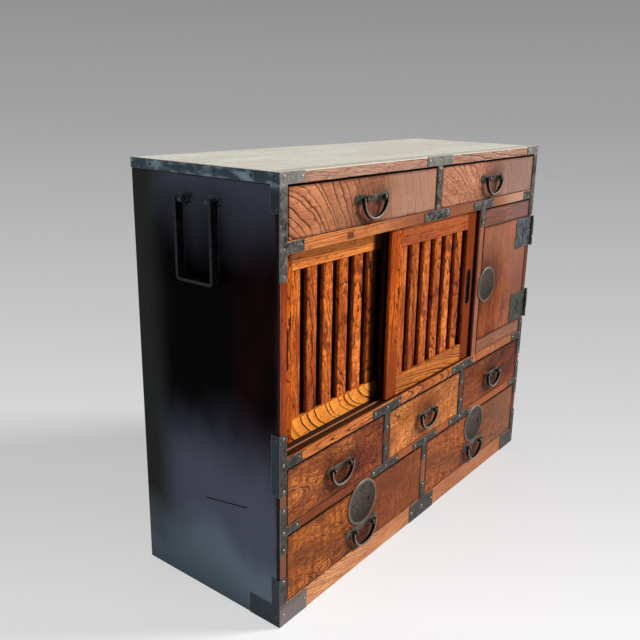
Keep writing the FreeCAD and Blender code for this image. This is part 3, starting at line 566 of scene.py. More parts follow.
# Tones of the top rail; tones, heart, ring width and slope of the bottom rail; painted shade on the stiles,
# low down and towards the right.
door_looks = {
    "left": ((tone(252, 152, 72), tone(204, 108, 44), tone(88, 36, 10)),
             (tone(252, 162, 66), tone(226, 126, 44), tone(40, 12, 4)), (-0.05, 0.416), 0.0080, 0.33, []),
    "right": ((tone(192, 100, 46), tone(146, 64, 26), tone(66, 25, 10)),
              (tone(212, 124, 48), tone(156, 80, 26), tone(54, 20, 6)), (-0.32, 0.330), 0.0075, 0.16,
              [("Z", 0.64, 0.46, 0.6, tone(114, 44, 3)), ("X", -0.05, 0.15, 0.65, tone(104, 38, 3))]),
}


def outline_piece(shape, outlines, thickness, ease, turn):
    """Adds a sheet cut along closed outlines, the first outside and the rest holes, to a shape."""
    curve = bpy.data.curves.new("outline", "CURVE")
    curve.dimensions = "2D"
    curve.fill_mode = "BOTH"
    curve.extrude = thickness / 2 - ease
    curve.bevel_depth = ease
    curve.bevel_resolution = 1
    curve.offset = -ease
    for outline in outlines:
        spline = curve.splines.new("POLY")
        spline.points.add(len(outline) - 1)
        for point, (across, up) in zip(spline.points, outline):
            point.co = (across, up, 0.0, 1.0)
        spline.use_cyclic_u = True
    holder = bpy.data.objects.new("outline", curve)
    mesh = bpy.data.meshes.new_from_object(holder)
    mesh.transform(turn @ Matrix.Translation((0, 0, thickness / 2)))
    shape.from_mesh(mesh)
    bpy.data.meshes.remove(mesh)
    bpy.data.objects.remove(holder)
    bpy.data.curves.remove(curve)


def facing_front(x, y, z):
    """Lays a sheet upright, facing forwards, with its back at a point."""
    return Matrix.Translation((x, y, z)) @ Matrix.Rotation(math.pi / 2, 4, "X")


def oblong(x, z, half_width, half_height):
    return [(x - half_width, z - half_height), (x + half_width, z - half_height),
            (x + half_width, z + half_height), (x - half_width, z + half_height)]


def slot_outline(z, half_width, half_height):
    """An upright slot with round ends."""
    straight = half_height - half_width
    steps = 12
    points = []
    for end in (-1, 1):
        for step in range(steps + 1):
            angle = math.pi * (step / steps + (1 if end < 0 else 0))
            points.append((half_width * math.cos(angle), z + end * straight + half_width * math.sin(angle)))
    return points


for side, (top_tones, bottom_tones, heart, ring, slope, fades_and_painted_light) in door_looks.items():
    node = side + "_sliding_door"
    body = side + "_lattice_door"
    low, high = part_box(node)
    foot = low.z + tongue_drop
    head = high.z - tongue_rise
    middle_z = (foot + head) / 2
    tongue_front = (low.y + high.y - tongue_width) / 2
    tongue_back = tongue_front + tongue_width
    inner_left = low.x + stile_width
    inner_right = high.x - stile_width
    rail_top = foot + rail_height
    rail_bottom = head - rail_height
    pull_low, pull_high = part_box(side + "_door_pull")
    pull = (pull_low + pull_high) / 2
    pull_half = (pull_high - pull_low) / 2
    pocket = slot_outline(pull.z - middle_z, pull_half.x, pull_half.z)
    pocket_depth = pull_high.y - pull_low.y
    shade = [door_shade] if side == "left" else []
    # Behind their fronts the doors' faces go near black: painted shade.
    dirt_and_shade = [("Y", low.y + 0.004, low.y + 0.012, painted_gap_shade)] + shade

    shape = bmesh.new()
    for left in (low.x, inner_right):
        right = left + stile_width
        front = low.y
        if left < pull.x < right:
            front = low.y + pocket_depth
            edge = oblong(0, 0, stile_width / 2, (head - foot) / 2)
            laid = facing_front(left + stile_width / 2, front, middle_z)
            outline_piece(shape, [edge, pocket], pocket_depth, pocket_ease, laid)
        plank(shape, (left, front, foot), (right, high.y, head))
        plank(shape, (left, tongue_front, low.z), (right, tongue_back, high.z), tongue_ease)
    name = side + "_door_stiles"
    wood = oiled_wood(
        "keyaki_" + name, upright, (low.x + 0.03, low.y, 0.1), stile_orange, ring=0.004, slope=0.03,
        wobble=0.03, lines=1.4, mottle=1.0, curl=0.3, threads=0.9, fades_and_painted_light=fades_and_painted_light, dirt_and_shade=dirt_and_shade,
    )
    piece(name, shape, body, "keyaki_front", wood, node)

    shape = bmesh.new()
    plank(shape, (inner_left, low.y, foot), (inner_right, high.y, rail_top))
    root = rail_top - tongue_root
    plank(shape, (inner_left, tongue_front, low.z), (inner_right, tongue_back, root), tongue_ease)
    name = side + "_door_bottom_rail"
    wood = oiled_wood(
        "keyaki_" + name, sideways, (heart[0], low.y, heart[1]), bottom_tones, ring=ring, slope=slope,
        wobble=0.006, lines=1.8, mottle=0.6, dirt_and_shade=dirt_and_shade,
    )
    piece(name, shape, body, "keyaki_front", wood, node)

    shape = bmesh.new()
    plank(shape, (inner_left, low.y, rail_bottom), (inner_right, high.y, head))
    root = rail_bottom + tongue_root
    plank(shape, (inner_left, tongue_front, root), (inner_right, tongue_back, high.z), tongue_ease)
    name = side + "_door_top_rail"
    wood = oiled_wood(
        "keyaki_" + name, sideways, (low.x - 0.2, low.y, 0.70), top_tones, ring=0.006, slope=0.02,
        wobble=0.01, lines=0.7, dirt_and_shade=dirt_and_shade,
    )
    piece(name, shape, body, "keyaki_front", wood, node)

    pitch = (inner_right - inner_left) / slat_count
    slat_y = low.y + slat_recess
    shape = bmesh.new()
    for number in range(slat_count):
        left = inner_left + number * pitch
        plank(shape, (left, slat_y, rail_top), (left + slat_width, slat_y + slat_thickness, rail_bottom))
    name = side + "_door_slats"
    # The slats' sides go near black towards the back: painted shade in the gaps.
    wood = oiled_wood(
        "keyaki_" + name, upright, (inner_left - 0.012, slat_y - 0.05, 0.5), slat_tones, ring=0.0034,
        slope=0.05, wobble=0.024, lines=1.3, mottle=0.9, curl=0.5, threads=0.9, slats=(inner_left, pitch),
        dirt_and_shade=[("Y", slat_y + 0.004, slat_y + 0.010, painted_gap_shade)] + shade,
    )
    piece(name, shape, body, "keyaki_front", wood, node)


# Finger pulls. Oval iron cups hammered from sheet and let into the outer stile of each sliding
# door. Like all the iron here they are blackened with lacquer, which has worn off proud edges.
def forged_skin():
    """Blackened iron: hammer dents, cloudy lacquer and bare worn spots."""
    inputs = {"Place": "Vector", "Worn": "Float", "Black": "Color", "Grey": "Color", "Bare": "Color"}
    outputs = {"Color": "Color", "Rough": "Float", "Height": "Float"}
    tree, given, made = open_group("forged_skin", inputs, outputs)
    spot = given["Place"]
    haze = cloud(tree, spot, (52, 52, 52), 4)
    dents = cloud(tree, spot, (150, 150, 150), 2)
    grit = cloud(tree, spot, (700, 700, 700), 2)
    colour = mix(tree, given["Black"], given["Grey"], rise(tree, haze, 0.33, 0.68))
    colour = mix(tree, colour, given["Bare"], rise(tree, dents, 0.52, 0.7), given["Worn"])
    colour = mix(tree, colour, given["Black"], rise(tree, grit, 0.55, 0.75), 0.4)
    tree.links.new(colour, made["Color"])
    tree.links.new(shift(tree, haze, 0.3, 0.32), made["Rough"])
    tree.links.new(shift(tree, grit, 0.25, dents), made["Height"])
    return tree


skin = forged_skin()
soot = tone(44, 40, 32)
soot_below = (0.76, 0.50)
foot_grey = tone(136, 123, 120)
foot_below = (0.060, 0.030)
foot_left_of = (-0.40, -0.44)
# The strap along the top edge of a side is rubbed, has its own cast and flakes in patches.
rubbed_above = (case_top - 0.032, case_top - 0.020)
cast_above = (case_top - 0.038, case_top - 0.026)
flaked_above = (case_top - 0.030, case_top - 0.020)
outside_of_case = (case_half + 0.0002, case_half + 0.0008)


def black_iron(
    name, black, grey, bare, worn=0.3, metallic=0.55, dent=0.0004, rim=0.0015, shine=0.3,
    side=None, ridge=None,
):
    """Blackened iron with edges lightened, partly rubbed bare and partly a painted highlight; straps on the
    case's sides may have a cast of their own.
    """
    material, tree, shader, spot = open_finish(name)
    look = {"Place": spot, "Worn": worn, "Black": black, "Grey": grey, "Bare": bare}
    forged = place(tree, "ShaderNodeGroup", look, node_tree=skin).outputs
    colour = forged["Color"]
    axes = split(tree, spot)
    if side:
        low_cast, high_cast, flaked, sooty = side
        colour = mix(tree, colour, soot, rise(tree, axes["Z"], *soot_below), sooty)
        foot = times(tree, rise(tree, axes["Z"], *foot_below), rise(tree, axes["X"], *foot_left_of))
        colour = mix(tree, colour, foot_grey, foot, 0.65)
        colour = mix(tree, colour, bare, rise(tree, axes["Z"], *rubbed_above), 0.4)
        patch = rise(tree, cloud(tree, spot, (9, 30, 60), 5), 0.42, 0.7)
        patch = times(tree, patch, rise(tree, axes["Z"], *flaked_above))
        cast = mix(tree, low_cast, high_cast, rise(tree, axes["Z"], *cast_above))
        cast = mix(tree, cast, flaked, patch, 0.85)
        outside = rise(tree, reckon(tree, "ABSOLUTE", axes["X"]), *outside_of_case)
        colour = mix(tree, colour, cast, outside)
    if ridge:
        colour = mix(tree, colour, bare, rise(tree, axes["Y"], *ridge), 0.8)
    # Edges and rims are lightened towards bare iron: partly rubbed wear, partly a painted highlight.
    rounded = place(tree, "ShaderNodeBevel", {"Radius": rim}, samples=4).outputs["Normal"]
    facing = tree.nodes.new("ShaderNodeNewGeometry").outputs["Normal"]
    rubbed_and_highlit_edges = reckon(tree, "SUBTRACT", 1.0, vary(tree, "DOT_PRODUCT", rounded, facing))
    colour = mix(tree, colour, bare, rise(tree, rubbed_and_highlit_edges, 0.02, 0.2), 0.7)
    shader.inputs["Metallic"].default_value = metallic
    close_finish(tree, shader, colour, forged["Rough"], shine, forged["Height"], dent)
    return material


rusty_iron = black_iron("rusty_iron", tone(78, 36, 18), tone(112, 54, 26), tone(140, 80, 44), metallic=0.1)
dark_iron = black_iron("dark_iron", tone(26, 25, 24), tone(48, 46, 43), tone(120, 118, 112))
dress(cad["left_door_pull"], rusty_iron)
dress(cad["right_door_pull"], dark_iron)


# Hinged door. One wide keyaki board with its grain upright, held flat by a cross batten along
# the top and another along the bottom; it is reddish where hands have oiled it.
batten_top = 0.046
batten_bottom = 0.038
keyhole_half_width = 0.002
keyhole_half_height = 0.006
keyhole_offset = 0.022
door_lock_radius = 0.047
door_lock_level = 0.552
door_ease = 0.0008
door_low, door_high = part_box("hinged_door")
door_lock_centre = Vector((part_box("door_lock")[0].x + door_lock_radius, door_low.y, door_lock_level))
board_foot = door_low.z + batten_bottom
board_head = door_high.z - batten_top
board_half_height = (board_head - board_foot) / 2
door_half_width = (door_high.x - door_low.x) / 2
board_tones = (tone(172, 86, 28), tone(106, 42, 8), tone(46, 16, 5))
batten_tones = (tone(148, 100, 80), tone(110, 66, 50), tone(68, 34, 24))
foot_tones = (tone(176, 114, 84), tone(124, 72, 48), tone(62, 30, 18))


def keyhole(centre):
    return oblong(centre.x + keyhole_offset, centre.z, keyhole_half_width, keyhole_half_height)


shape = bmesh.new()
middle_x = door_low.x + door_half_width
edge = oblong(middle_x, board_foot + board_half_height, door_half_width, board_half_height)
outlines = [edge, keyhole(door_lock_centre)]
outline_piece(shape, outlines, door_high.y - door_low.y, door_ease, facing_front(0, door_high.y, 0))
# The paler pinkish tone towards the right is a painted reflection; the board is also paler towards the top.
wood = oiled_wood(
    "keyaki_swing_door_board", upright, (0.40, door_low.y - 0.05, 0.55), board_tones, ring=0.008,
    slope=0.10, wobble=0.05, lines=0.8, mottle=1.0, hand=door_lock_centre, hand_reach=0.14,
    corners=((door_low.x, door_low.y, board_foot), (door_high.x, door_high.y, board_head)),
    fades_and_painted_light=[("X", 0.38, 0.52, 0.45, tone(150, 100, 82)), ("Z", 0.55, 0.74, 0.5, tone(172, 116, 90))],
)
piece("swing_door_board", shape, "swing_door", "keyaki_front", wood, "hinged_door")
# The mauve towards the right end of each batten is a painted reflection.
battens = {
    "top": (board_head, door_high.z, batten_tones, tone(122, 94, 90)),
    "bottom": (door_low.z, board_foot, foot_tones, tone(122, 86, 68)),
}
for end, (foot, head, tones, painted_haze_tone) in battens.items():
    name = "swing_door_" + end + "_batten"
    corners = ((door_low.x, door_low.y, foot), (door_high.x, door_high.y, head))
    shape = bmesh.new()
    plank(shape, *corners)
    wood = oiled_wood(
        "keyaki_" + name, sideways, (0.1, door_low.y, foot - 0.04), tones, ring=0.005, slope=0.08,
        wobble=0.015, lines=0.7, corners=corners, edge_depth=0.5, fades_and_painted_light=[("X", 0.36, 0.52, 0.6, painted_haze_tone)],
    )
    piece(name, shape, "swing_door", "keyaki_front", wood, "hinged_door")


# Hinges. Two hammered leaves nailed across the door, wavy along the free edge and pierced with
# a winding slit; their rolls turn on iron pins between the leaves on the case side.
strap_iron = black_iron(
    "strap_iron", tone(44, 41, 38), tone(106, 101, 95), tone(176, 172, 164), worn=0.35, dent=0.0007,
    side=(tone(44, 54, 63), tone(62, 76, 86), tone(146, 170, 180), 0.65),
)
nail_iron = black_iron(
    "nail_iron", tone(70, 68, 64), tone(124, 122, 117), tone(176, 174, 168), worn=0.5, metallic=0.65,
    side=(tone(44, 52, 60), tone(50, 60, 68), tone(70, 80, 90), 0.0),
)
hinge_irons = {
    "lower": black_iron("lower_hinge_iron", tone(48, 47, 41), tone(76, 75, 67), tone(128, 127, 118)),
    "upper": black_iron("upper_hinge_iron", tone(54, 59, 62), tone(88, 96, 100), tone(142, 150, 154)),
}
# A near-black, unlit finish for the small blocks behind slits and keyholes: painted shade.
painted_hole_shade = black_iron(
    "painted_hole_shade", tone(5, 4, 4), tone(8, 7, 6), tone(8, 7, 6), worn=0.0, metallic=0.0, shine=0.0,
)
leaf_low, leaf_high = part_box("hinge_door_leaves")
leaf_height = 0.082
leaf_thickness = 0.0016
leaf_ease = 0.0004
scallop = 0.005
slit_offset = 0.047
slit_wave = 0.0032
slit_end_half = 0.0006
slit_swell = 0.0026
backing_half = 0.012
backing_inset = 0.014
backing_thickness = 0.0003
slit_foot = 0.18 * leaf_height
slit_height = 0.64 * leaf_height
hinge_nail_columns = (0.016, 0.032, 0.066, 0.086)
hinge_nail_inset = 0.012
hinge_nail_radius = 0.0026
hinge_nail_height = 0.0014
case_leaf_ease = 0.0003
pin = Vector((0.5435, -0.1985, 0.0))
roll_radius = 0.0045
roll_bore = 0.00225
roll_gap = 0.0003
roll_height = leaf_height / 3


def turned(shape, profile, centre, outwards, sides=24, closed=False):
    """Adds a turned form: a profile of radius and height, spun round an axis."""
    spin = Vector((0, 0, 1)).rotation_difference(Vector(outwards)).to_matrix()
    rows = []
    for radius, height in profile:
        row = []
        for side in range(1 if radius == 0 else sides):
            angle = 2 * math.pi * side / sides
            out = Vector((radius * math.cos(angle), radius * math.sin(angle), height))
            row.append(shape.verts.new(Vector(centre) + spin @ out))
        rows.append((height, row))
    pairs = list(zip(rows, rows[1:]))
    if closed:
        pairs.append((rows[-1], rows[0]))
    for (low, lower), (high, upper) in pairs:
        for side in range(sides):
            ring = [lower[side % len(lower)], lower[(side + 1) % len(lower)],
                    upper[(side + 1) % len(upper)], upper[side % len(upper)]]
            face = shape.faces.new(list(dict.fromkeys(ring)))
            face.smooth = low != high


def nail(shape, spot, outwards, radius, height):
    """Adds a domed nail head, with its flat side on the iron."""
    angles = [math.pi / 8 * step for step in range(4)]
    dome = [(radius * math.cos(angle), height * math.sin(angle)) for angle in angles]
    turned(shape, [(0, 0)] + dome + [(0, height)], spot, outwards, sides=16)


def slit_outline(x, foot):
    """A winding slit, widest at half its height."""
    steps = 16
    sides = []
    for way in (1, -1):
        for step in range(steps + 1):
            share = step / steps if way > 0 else 1 - step / steps
            wave = slit_wave * math.sin(2 * math.pi * share * 2)
            half = slit_end_half + slit_swell * math.sin(math.pi * share)
            sides.append((x + wave + way * half, foot + slit_foot + slit_height * share))
    return sides


def leaf_outline(left, foot):
    """A hinge leaf with room for the case leaf's roll and two scallops along the free edge."""
    head = foot + leaf_height
    notch = pin.x - roll_radius - 2 * roll_gap
    notch_foot = foot + roll_height - roll_gap / 2
    notch_head = head - roll_height + roll_gap / 2
    points = [(left + scallop, foot), (pin.x, foot), (pin.x, notch_foot), (notch, notch_foot),
              (notch, notch_head), (pin.x, notch_head), (pin.x, head)]
    steps = 24
    for step in range(steps):
        share = step / steps
        wave = scallop * abs(math.sin(2 * math.pi * share))
        points.append((left + scallop - wave, head - share * leaf_height))
    return points


for level, foot in (("lower", leaf_low.z), ("upper", leaf_high.z - leaf_height)):
    head = foot + leaf_height
    slit_x = leaf_low.x + slit_offset
    # A near-black sheet behind the slit stands in for the shade under it: painted shade.
    shape = bmesh.new()
    plank(shape, (slit_x - backing_half, door_low.y - backing_thickness, foot + backing_inset),
          (slit_x + backing_half, door_low.y, head - backing_inset), backing_thickness / 3)
    piece(level + "_hinge_slit_shade", shape, "swing_door", "black_iron", painted_hole_shade)
    shape = bmesh.new()
    outlines = [leaf_outline(leaf_low.x, foot), slit_outline(slit_x, foot)]
    outline_piece(shape, outlines, leaf_thickness, leaf_ease, facing_front(0, door_low.y, 0))
    for third in (0, 2):
        low = foot + third * roll_height + roll_gap / 2
        length = roll_height - roll_gap
        profile = [(roll_bore, 0), (roll_radius, 0), (roll_radius, length), (roll_bore, length)]
        turned(shape, profile, (pin.x, pin.y, low), (0, 0, 1), closed=True)
    piece(level + "_hinge_leaf", shape, "swing_door", "black_iron", hinge_irons[level], "hinge_door_leaves")
    shape = bmesh.new()
    for across in hinge_nail_columns:
        for up in (hinge_nail_inset, leaf_height / 2, leaf_height - hinge_nail_inset):
            spot = (leaf_low.x + across, door_low.y - leaf_thickness, foot + up)
            nail(shape, spot, (0, -1, 0), hinge_nail_radius, hinge_nail_height)
    piece(level + "_hinge_nails", shape, "swing_door", "black_iron", hinge_irons[level])
dress_node("hinge_case_leaves", strap_iron, case_leaf_ease)


# Door lock. A round iron plate with a bevelled rim and a keyhole; behind the board a flat iron
# case holds the bolt, which slides into the post.
lock_look = {"worn": 0.05, "metallic": 0.4, "dent": 0.0002, "rim": 0.002, "shine": 0.1}
bolt_iron = black_iron("bolt_iron", tone(40, 30, 21), tone(57, 44, 33), tone(150, 140, 126), **lock_look)
bolt_ease = 0.0005
disc_thickness = 0.0028
disc_ease = 0.0010
disc_line_inset = 0.0055
disc_line_half = 0.0008
disc_line_height = 0.0005
disc_line_root = 0.0001
case_width = 0.064
case_height = 0.040
case_depth = 0.012
case_ease = 0.0004
bolt_slot_width = 0.0246
bolt_slot_thickness = 0.0056
bolt_slot_depth = 0.0348
inside_half_depth = 0.0003
inside_stand_out = 0.0006
inside_overlap = 1.1
inside_ease = 0.0001
# A painted sheen brightens towards the upper left, along the way of the fine scratches.
sheen_way = (-0.6, 0.0, 0.8)
sheen_cross = (0.8, 0.0, 0.6)
painted_lock_sheen = tone(124, 112, 110)
lock_bare = tone(160, 150, 138)
painted_disc_rim_highlight = (0.0030, 0.0016)
disc_back = (0.0, -0.0008)


def lock_iron(name, centre, radius):
    """Iron of a lock plate: finely scratched, with a painted sheen towards the upper left and a painted
    highlight on its rim.
    """
    material = black_iron(name, tone(38, 28, 20), tone(55, 43, 33), lock_bare, **lock_look)
    tree = material.node_tree
    finish = tree.nodes["Principled BSDF"].inputs["Base Color"]
    colour = finish.links[0].from_socket
    out = vary(tree, "SUBTRACT", tree.nodes["Texture Coordinate"].outputs["Object"], centre)
    on_plate = rise(tree, split(tree, out)["Y"], *disc_back)
    along = vary(tree, "DOT_PRODUCT", out, sheen_way)
    across = vary(tree, "DOT_PRODUCT", out, sheen_cross)
    strokes = place(tree, "ShaderNodeCombineXYZ", {0: along, 1: across}).outputs[0]
    scratch = rise(tree, cloud(tree, strokes, (50, 700, 1), 3), 0.4, 0.65)
    painted_sheen = times(tree, rise(tree, along, -0.6 * radius, radius), scratch, 0.7)
    colour = mix(tree, colour, painted_lock_sheen, painted_sheen, on_plate)
    rim = rise(tree, vary(tree, "LENGTH", out), radius - painted_disc_rim_highlight[0], radius - painted_disc_rim_highlight[1])
    colour = mix(tree, colour, lock_bare, times(tree, rim, 0.6), on_plate)
    tree.links.new(colour, finish)
    return material


def lock_disc(shape, centre, radius):
    """Adds a round lock plate with its keyhole and a fine raised line inside the rim."""
    sides = 72
    angles = [2 * math.pi * step / sides for step in range(sides)]
    circle = [(centre.x + radius * math.cos(angle), centre.z + radius * math.sin(angle))
              for angle in angles]
    outlines = [circle, keyhole(centre)]
    outline_piece(shape, outlines, disc_thickness, disc_ease, facing_front(0, centre.y, 0))
    line = radius - disc_line_inset
    profile = [(line, -disc_line_root), (line + disc_line_half, disc_line_height),
               (line + 2 * disc_line_half, -disc_line_root)]
    turned(shape, profile, centre - Vector((0, disc_thickness, 0)), (0, -1, 0), sides, closed=True)


def keyhole_shade(name, body, centre):
    """Makes a near-black block behind a keyhole, a painted shade for the dark inside of the lock."""
    reach = Vector((keyhole_half_width, inside_half_depth, keyhole_half_height)) * inside_overlap
    middle = centre + Vector((keyhole_offset, -inside_stand_out, 0))
    shape = bmesh.new()
    plank(shape, middle - reach, middle + reach, inside_ease)
    piece(name, shape, body, "black_iron", painted_hole_shade)


def lock_case(shape, mouth, turn, width, length):
    """Adds a lock case that opens for its bolt at a mouth, which is the middle of that end."""
    edge = oblong(0, 0, width / 2, case_depth / 2)
    slot = oblong(0, 0, bolt_slot_width / 2, bolt_slot_thickness / 2)
    laid = Matrix.Translation(mouth) @ turn
    slotted = laid @ Matrix.Translation((0, 0, -bolt_slot_depth))
    solid = laid @ Matrix.Translation((0, 0, -length))
    outline_piece(shape, [edge, slot], bolt_slot_depth, case_ease, slotted)
    outline_piece(shape, [edge], length - bolt_slot_depth, case_ease, solid)


shape = bmesh.new()
lock_disc(shape, door_lock_centre, door_lock_radius)
mouth = (door_low.x, door_high.y + case_depth / 2, door_lock_centre.z)
lock_case(shape, mouth, Matrix.Rotation(-math.pi / 2, 4, "Y"), case_height, case_width)
iron = lock_iron("door_lock_iron", door_lock_centre, door_lock_radius)
piece("door_lock_disc", shape, "swing_door", "black_iron", iron, "door_lock")
keyhole_shade("door_keyhole_shade", "swing_door", door_lock_centre)
dress_node("door_lock_bolt", bolt_iron, bolt_ease)


# Drawers. Each is an open box of pale cedar, pinned at the corners, behind a keyaki front that was picked
# for its figure: pink above, partly faded and partly a painted reflection, burl in the small row, dark
# brown below.
drawer_wall = 0.010
drawer_floor = 0.007
front_ease = 0.0015
# The edge darkening and painted gap shadow at a front's top edge lie a little higher than at its other
# edges.
top_edge_lift = Vector((0, 0, 0.0004))
hand_reach = 0.10
box_tones = (tone(214, 182, 138), tone(192, 156, 112), tone(150, 112, 74))
box_look = {"slope": 0.03, "lines": 0.5, "gloss": 0.6, "shine": cedar_shine}
box_sides = oiled_wood("drawer_side_cedar", inwards, (0.9, 0.3, 0.5), box_tones, ring=0.007, **box_look)
box_backs = oiled_wood("drawer_back_cedar", sideways, (0.3, 0.3, 0.55), box_tones, ring=0.008, **box_look)
box_floors = oiled_wood("drawer_floor_cedar", flat, (0.2, 0.1, 1.0), box_tones, ring=0.009, **box_look)
pink_tones = (tone(222, 148, 104), tone(170, 102, 66), tone(50, 19, 9))
dusty_tones = (tone(212, 148, 112), tone(168, 108, 80), tone(78, 38, 25))
burl_tones = (tone(216, 128, 62), tone(126, 60, 26), tone(40, 16, 6))
honey_tones = (tone(244, 156, 82), tone(158, 84, 34), tone(66, 28, 10))
russet_tones = (tone(172, 88, 32), tone(104, 46, 13), tone(44, 17, 6))
brown_tones = (tone(202, 112, 46), tone(112, 53, 16), tone(38, 15, 5))
earth_tones = (tone(190, 102, 48), tone(112, 55, 21), tone(44, 18, 7))
unstained = (0.0, -9.0, 0.1)
# Tones, heart, ring width, slope, wobble, lines, curl, stain (across, up, reach) and fading; on the top
# drawers the pale haze towards the right is a painted reflection.
drawer_looks = {
    "top_left": (pink_tones, (-0.57, 0.735), 0.0145, 0.9, 0.035, 1.6, 0.25, unstained,
                 [("X", -0.40, -0.32, 0.4, tone(132, 88, 66)),
                  ("X", -0.28, -0.05, 0.65, tone(174, 132, 112))]),
    "top_right": (dusty_tones, (-0.04, 0.74), 0.0105, 0.7, 0.05, 1.1, 0.3, unstained,
                  [("X", 0.22, 0.46, 0.75, tone(142, 116, 106))]),
    "small_left": (burl_tones, (-0.62, 0.26), 0.006, 0.25, 0.09, 1.2, 0.7, (-0.24, 0.285, 0.085), ()),
    "small_middle": (honey_tones, (-0.03, 0.34), 0.006, 0.25, 0.08, 1.0, 0.75, unstained, ()),
    "small_right": (russet_tones, (0.10, 0.34), 0.007, 0.2, 0.08, 1.0, 0.4, (0.47, 0.31, 0.085), ()),
    "bottom_left": (brown_tones, (-0.60, 0.05), 0.006, 0.22, 0.07, 1.2, 0.8, unstained,
                    [("X", -0.34, -0.08, 0.6, tone(108, 51, 23))]),
    "bottom_right": (earth_tones, (-0.08, 0.05), 0.007, 0.2, 0.06, 1.0, 0.7, unstained,
                     [("X", 0.30, 0.52, 0.55, tone(112, 80, 64))]),
}
for drawer, (tones, heart, ring, slope, wobble, lines, curl, stain, fades_and_painted_light) in drawer_looks.items():
    body = drawer + "_drawer"
    front = drawer + "_drawer_front"
    front_low, front_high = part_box(front)
    bail_low, bail_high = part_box(drawer + "_bail")
    wood = oiled_wood(
        "keyaki_" + front, sideways, (heart[0], front_low.y, heart[1]), tones, ring=ring, slope=slope,
        wobble=wobble, lines=lines, mottle=1.0, curl=curl, fades_and_painted_light=fades_and_painted_light,
        corners=(front_low, front_high + top_edge_lift), hand=(bail_low + bail_high) / 2,
        hand_reach=hand_reach, stain=(stain[0], front_low.y, stain[1]), stain_reach=stain[2],
    )
    dress_node(front, wood, front_ease)
    box = drawer + "_drawer_box"
    low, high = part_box(box)
    floor_top = low.z + drawer_floor
    inner_left = low.x + drawer_wall
    inner_right = high.x - drawer_wall
    shape = bmesh.new()
    plank(shape, low, (high.x, high.y, floor_top))
    piece(drawer + "_drawer_floor", shape, body, "inner_cedar", box_floors, box)
    shape = bmesh.new()
    plank(shape, (low.x, low.y, floor_top), (inner_left, high.y, high.z))
    plank(shape, (inner_right, low.y, floor_top), high)
    piece(drawer + "_drawer_sides", shape, body, "inner_cedar", box_sides, box)
    shape = bmesh.new()
    plank(shape, (inner_left, high.y - drawer_wall, floor_top), (inner_right, high.y, high.z))
    piece(drawer + "_drawer_back", shape, body, "inner_cedar", box_backs, box)


# Straps and nails. Angle straps bind the corners of the case and T straps the ends of the
# uprights; they are cut from sheet iron, bent cold and held by domed nails.
dress(cad["iron_brackets"], strap_iron)
dress(cad["bracket_nails"], nail_iron)


# Drawer handles. A lobed plate is riveted to the front by two eye posts, and a bail bent to a half circle
# swings in their eyes; its front edge is lightened, partly polish from hands and partly a painted
# highlight.
plate_thickness = 0.0016
plate_ease = 0.0005
bail_leg_thickness = 0.0050
bail_foot_thickness = 0.0066
bail_half_depth = 0.0043
bail_ear = 0.0045
bail_pin_radius = 0.0025
bail_pin_ease = 0.0005
bail_squareness = 0.6
bail_polish_highlight = (0.84 * bail_half_depth, 0.98 * bail_half_depth)
eye_radius = 0.006
eye_bore = 0.0026
eye_width = 0.006
eye_ease = 0.0008
post_foot_radius = 0.0052
post_foot_height = 0.0005
post_shoulder = 0.0025
post_radius = 0.0034
stand_off = 0.010
post_inset = 0.012
drawer_lock_radius = 0.053
drawer_lock_rise = 0.061
lock_gap = 0.0003
post_swell = 0.55
post_swell_spread = 0.28
plate_nail_radius = 0.0028
plate_nail_height = 0.0014
bail_y = front_y - stand_off
plate_iron = black_iron("plate_iron", tone(58, 52, 45), tone(92, 85, 75), tone(150, 140, 128))
bail_iron = black_iron(
    "bail_iron", tone(22, 18, 16), tone(44, 37, 32), tone(148, 135, 121), worn=0.15, metallic=0.7,
    dent=0.0001, shine=0.4, ridge=(bail_y - bail_polish_highlight[0], bail_y - bail_polish_highlight[1]),
)


def half_height(x, length, waist, lobe, post):
    """How far a handle plate reaches up and down at a distance from its middle."""
    from_lobe = x - (length - lobe)
    round_end = math.sqrt(max(lobe * lobe - from_lobe * from_lobe, 0))
    if from_lobe > 0:
        return round_end
    swell = 1 + post_swell * math.exp(-((x - post) / (post_swell_spread * post)) ** 2)
    return max(waist * swell, round_end)


def plate_outline(length, waist, lobe, post, under_lock):
    """The lobed outline of a handle plate; under a lock disc its top edge is hollowed to fit."""
    steps = 40
    upper, lower = [], []
    for step in range(-steps, steps + 1):
        x = length * math.sin(math.pi / 2 * step / steps)
        height = half_height(abs(x), length, waist, lobe, post)
        lower.append((x, -height))
        if under_lock and abs(x) < drawer_lock_radius:
            disc_foot = drawer_lock_rise - math.sqrt(drawer_lock_radius ** 2 - x * x)
            height = min(height, disc_foot - lock_gap)
        upper.append((x, height))
    return lower[:-1] + upper[::-1][:-1]


def eye_post(shape, x, z):
    """Adds a post that ends in an eye, out of the front of a drawer."""
    reach = stand_off - eye_bore
    profile = [(0, 0), (post_foot_radius, 0), (post_foot_radius, post_foot_height),
               (post_radius, post_shoulder), (post_radius, reach), (0, reach)]
    turned(shape, profile, (x, front_y - plate_thickness, z), (0, -1, 0), sides=16)
    half = eye_width / 2
    rim = eye_radius - eye_ease
    profile = [(eye_bore, -half), (rim, -half), (eye_radius, eye_ease - half),
               (eye_radius, half - eye_ease), (rim, half), (eye_bore, half)]
    turned(shape, profile, (x, bail_y, z), (1, 0, 0), closed=True)


def squared(share):
    """A share of a circle's radius, pushed out towards a square."""
    return math.copysign(abs(share) ** bail_squareness, share)


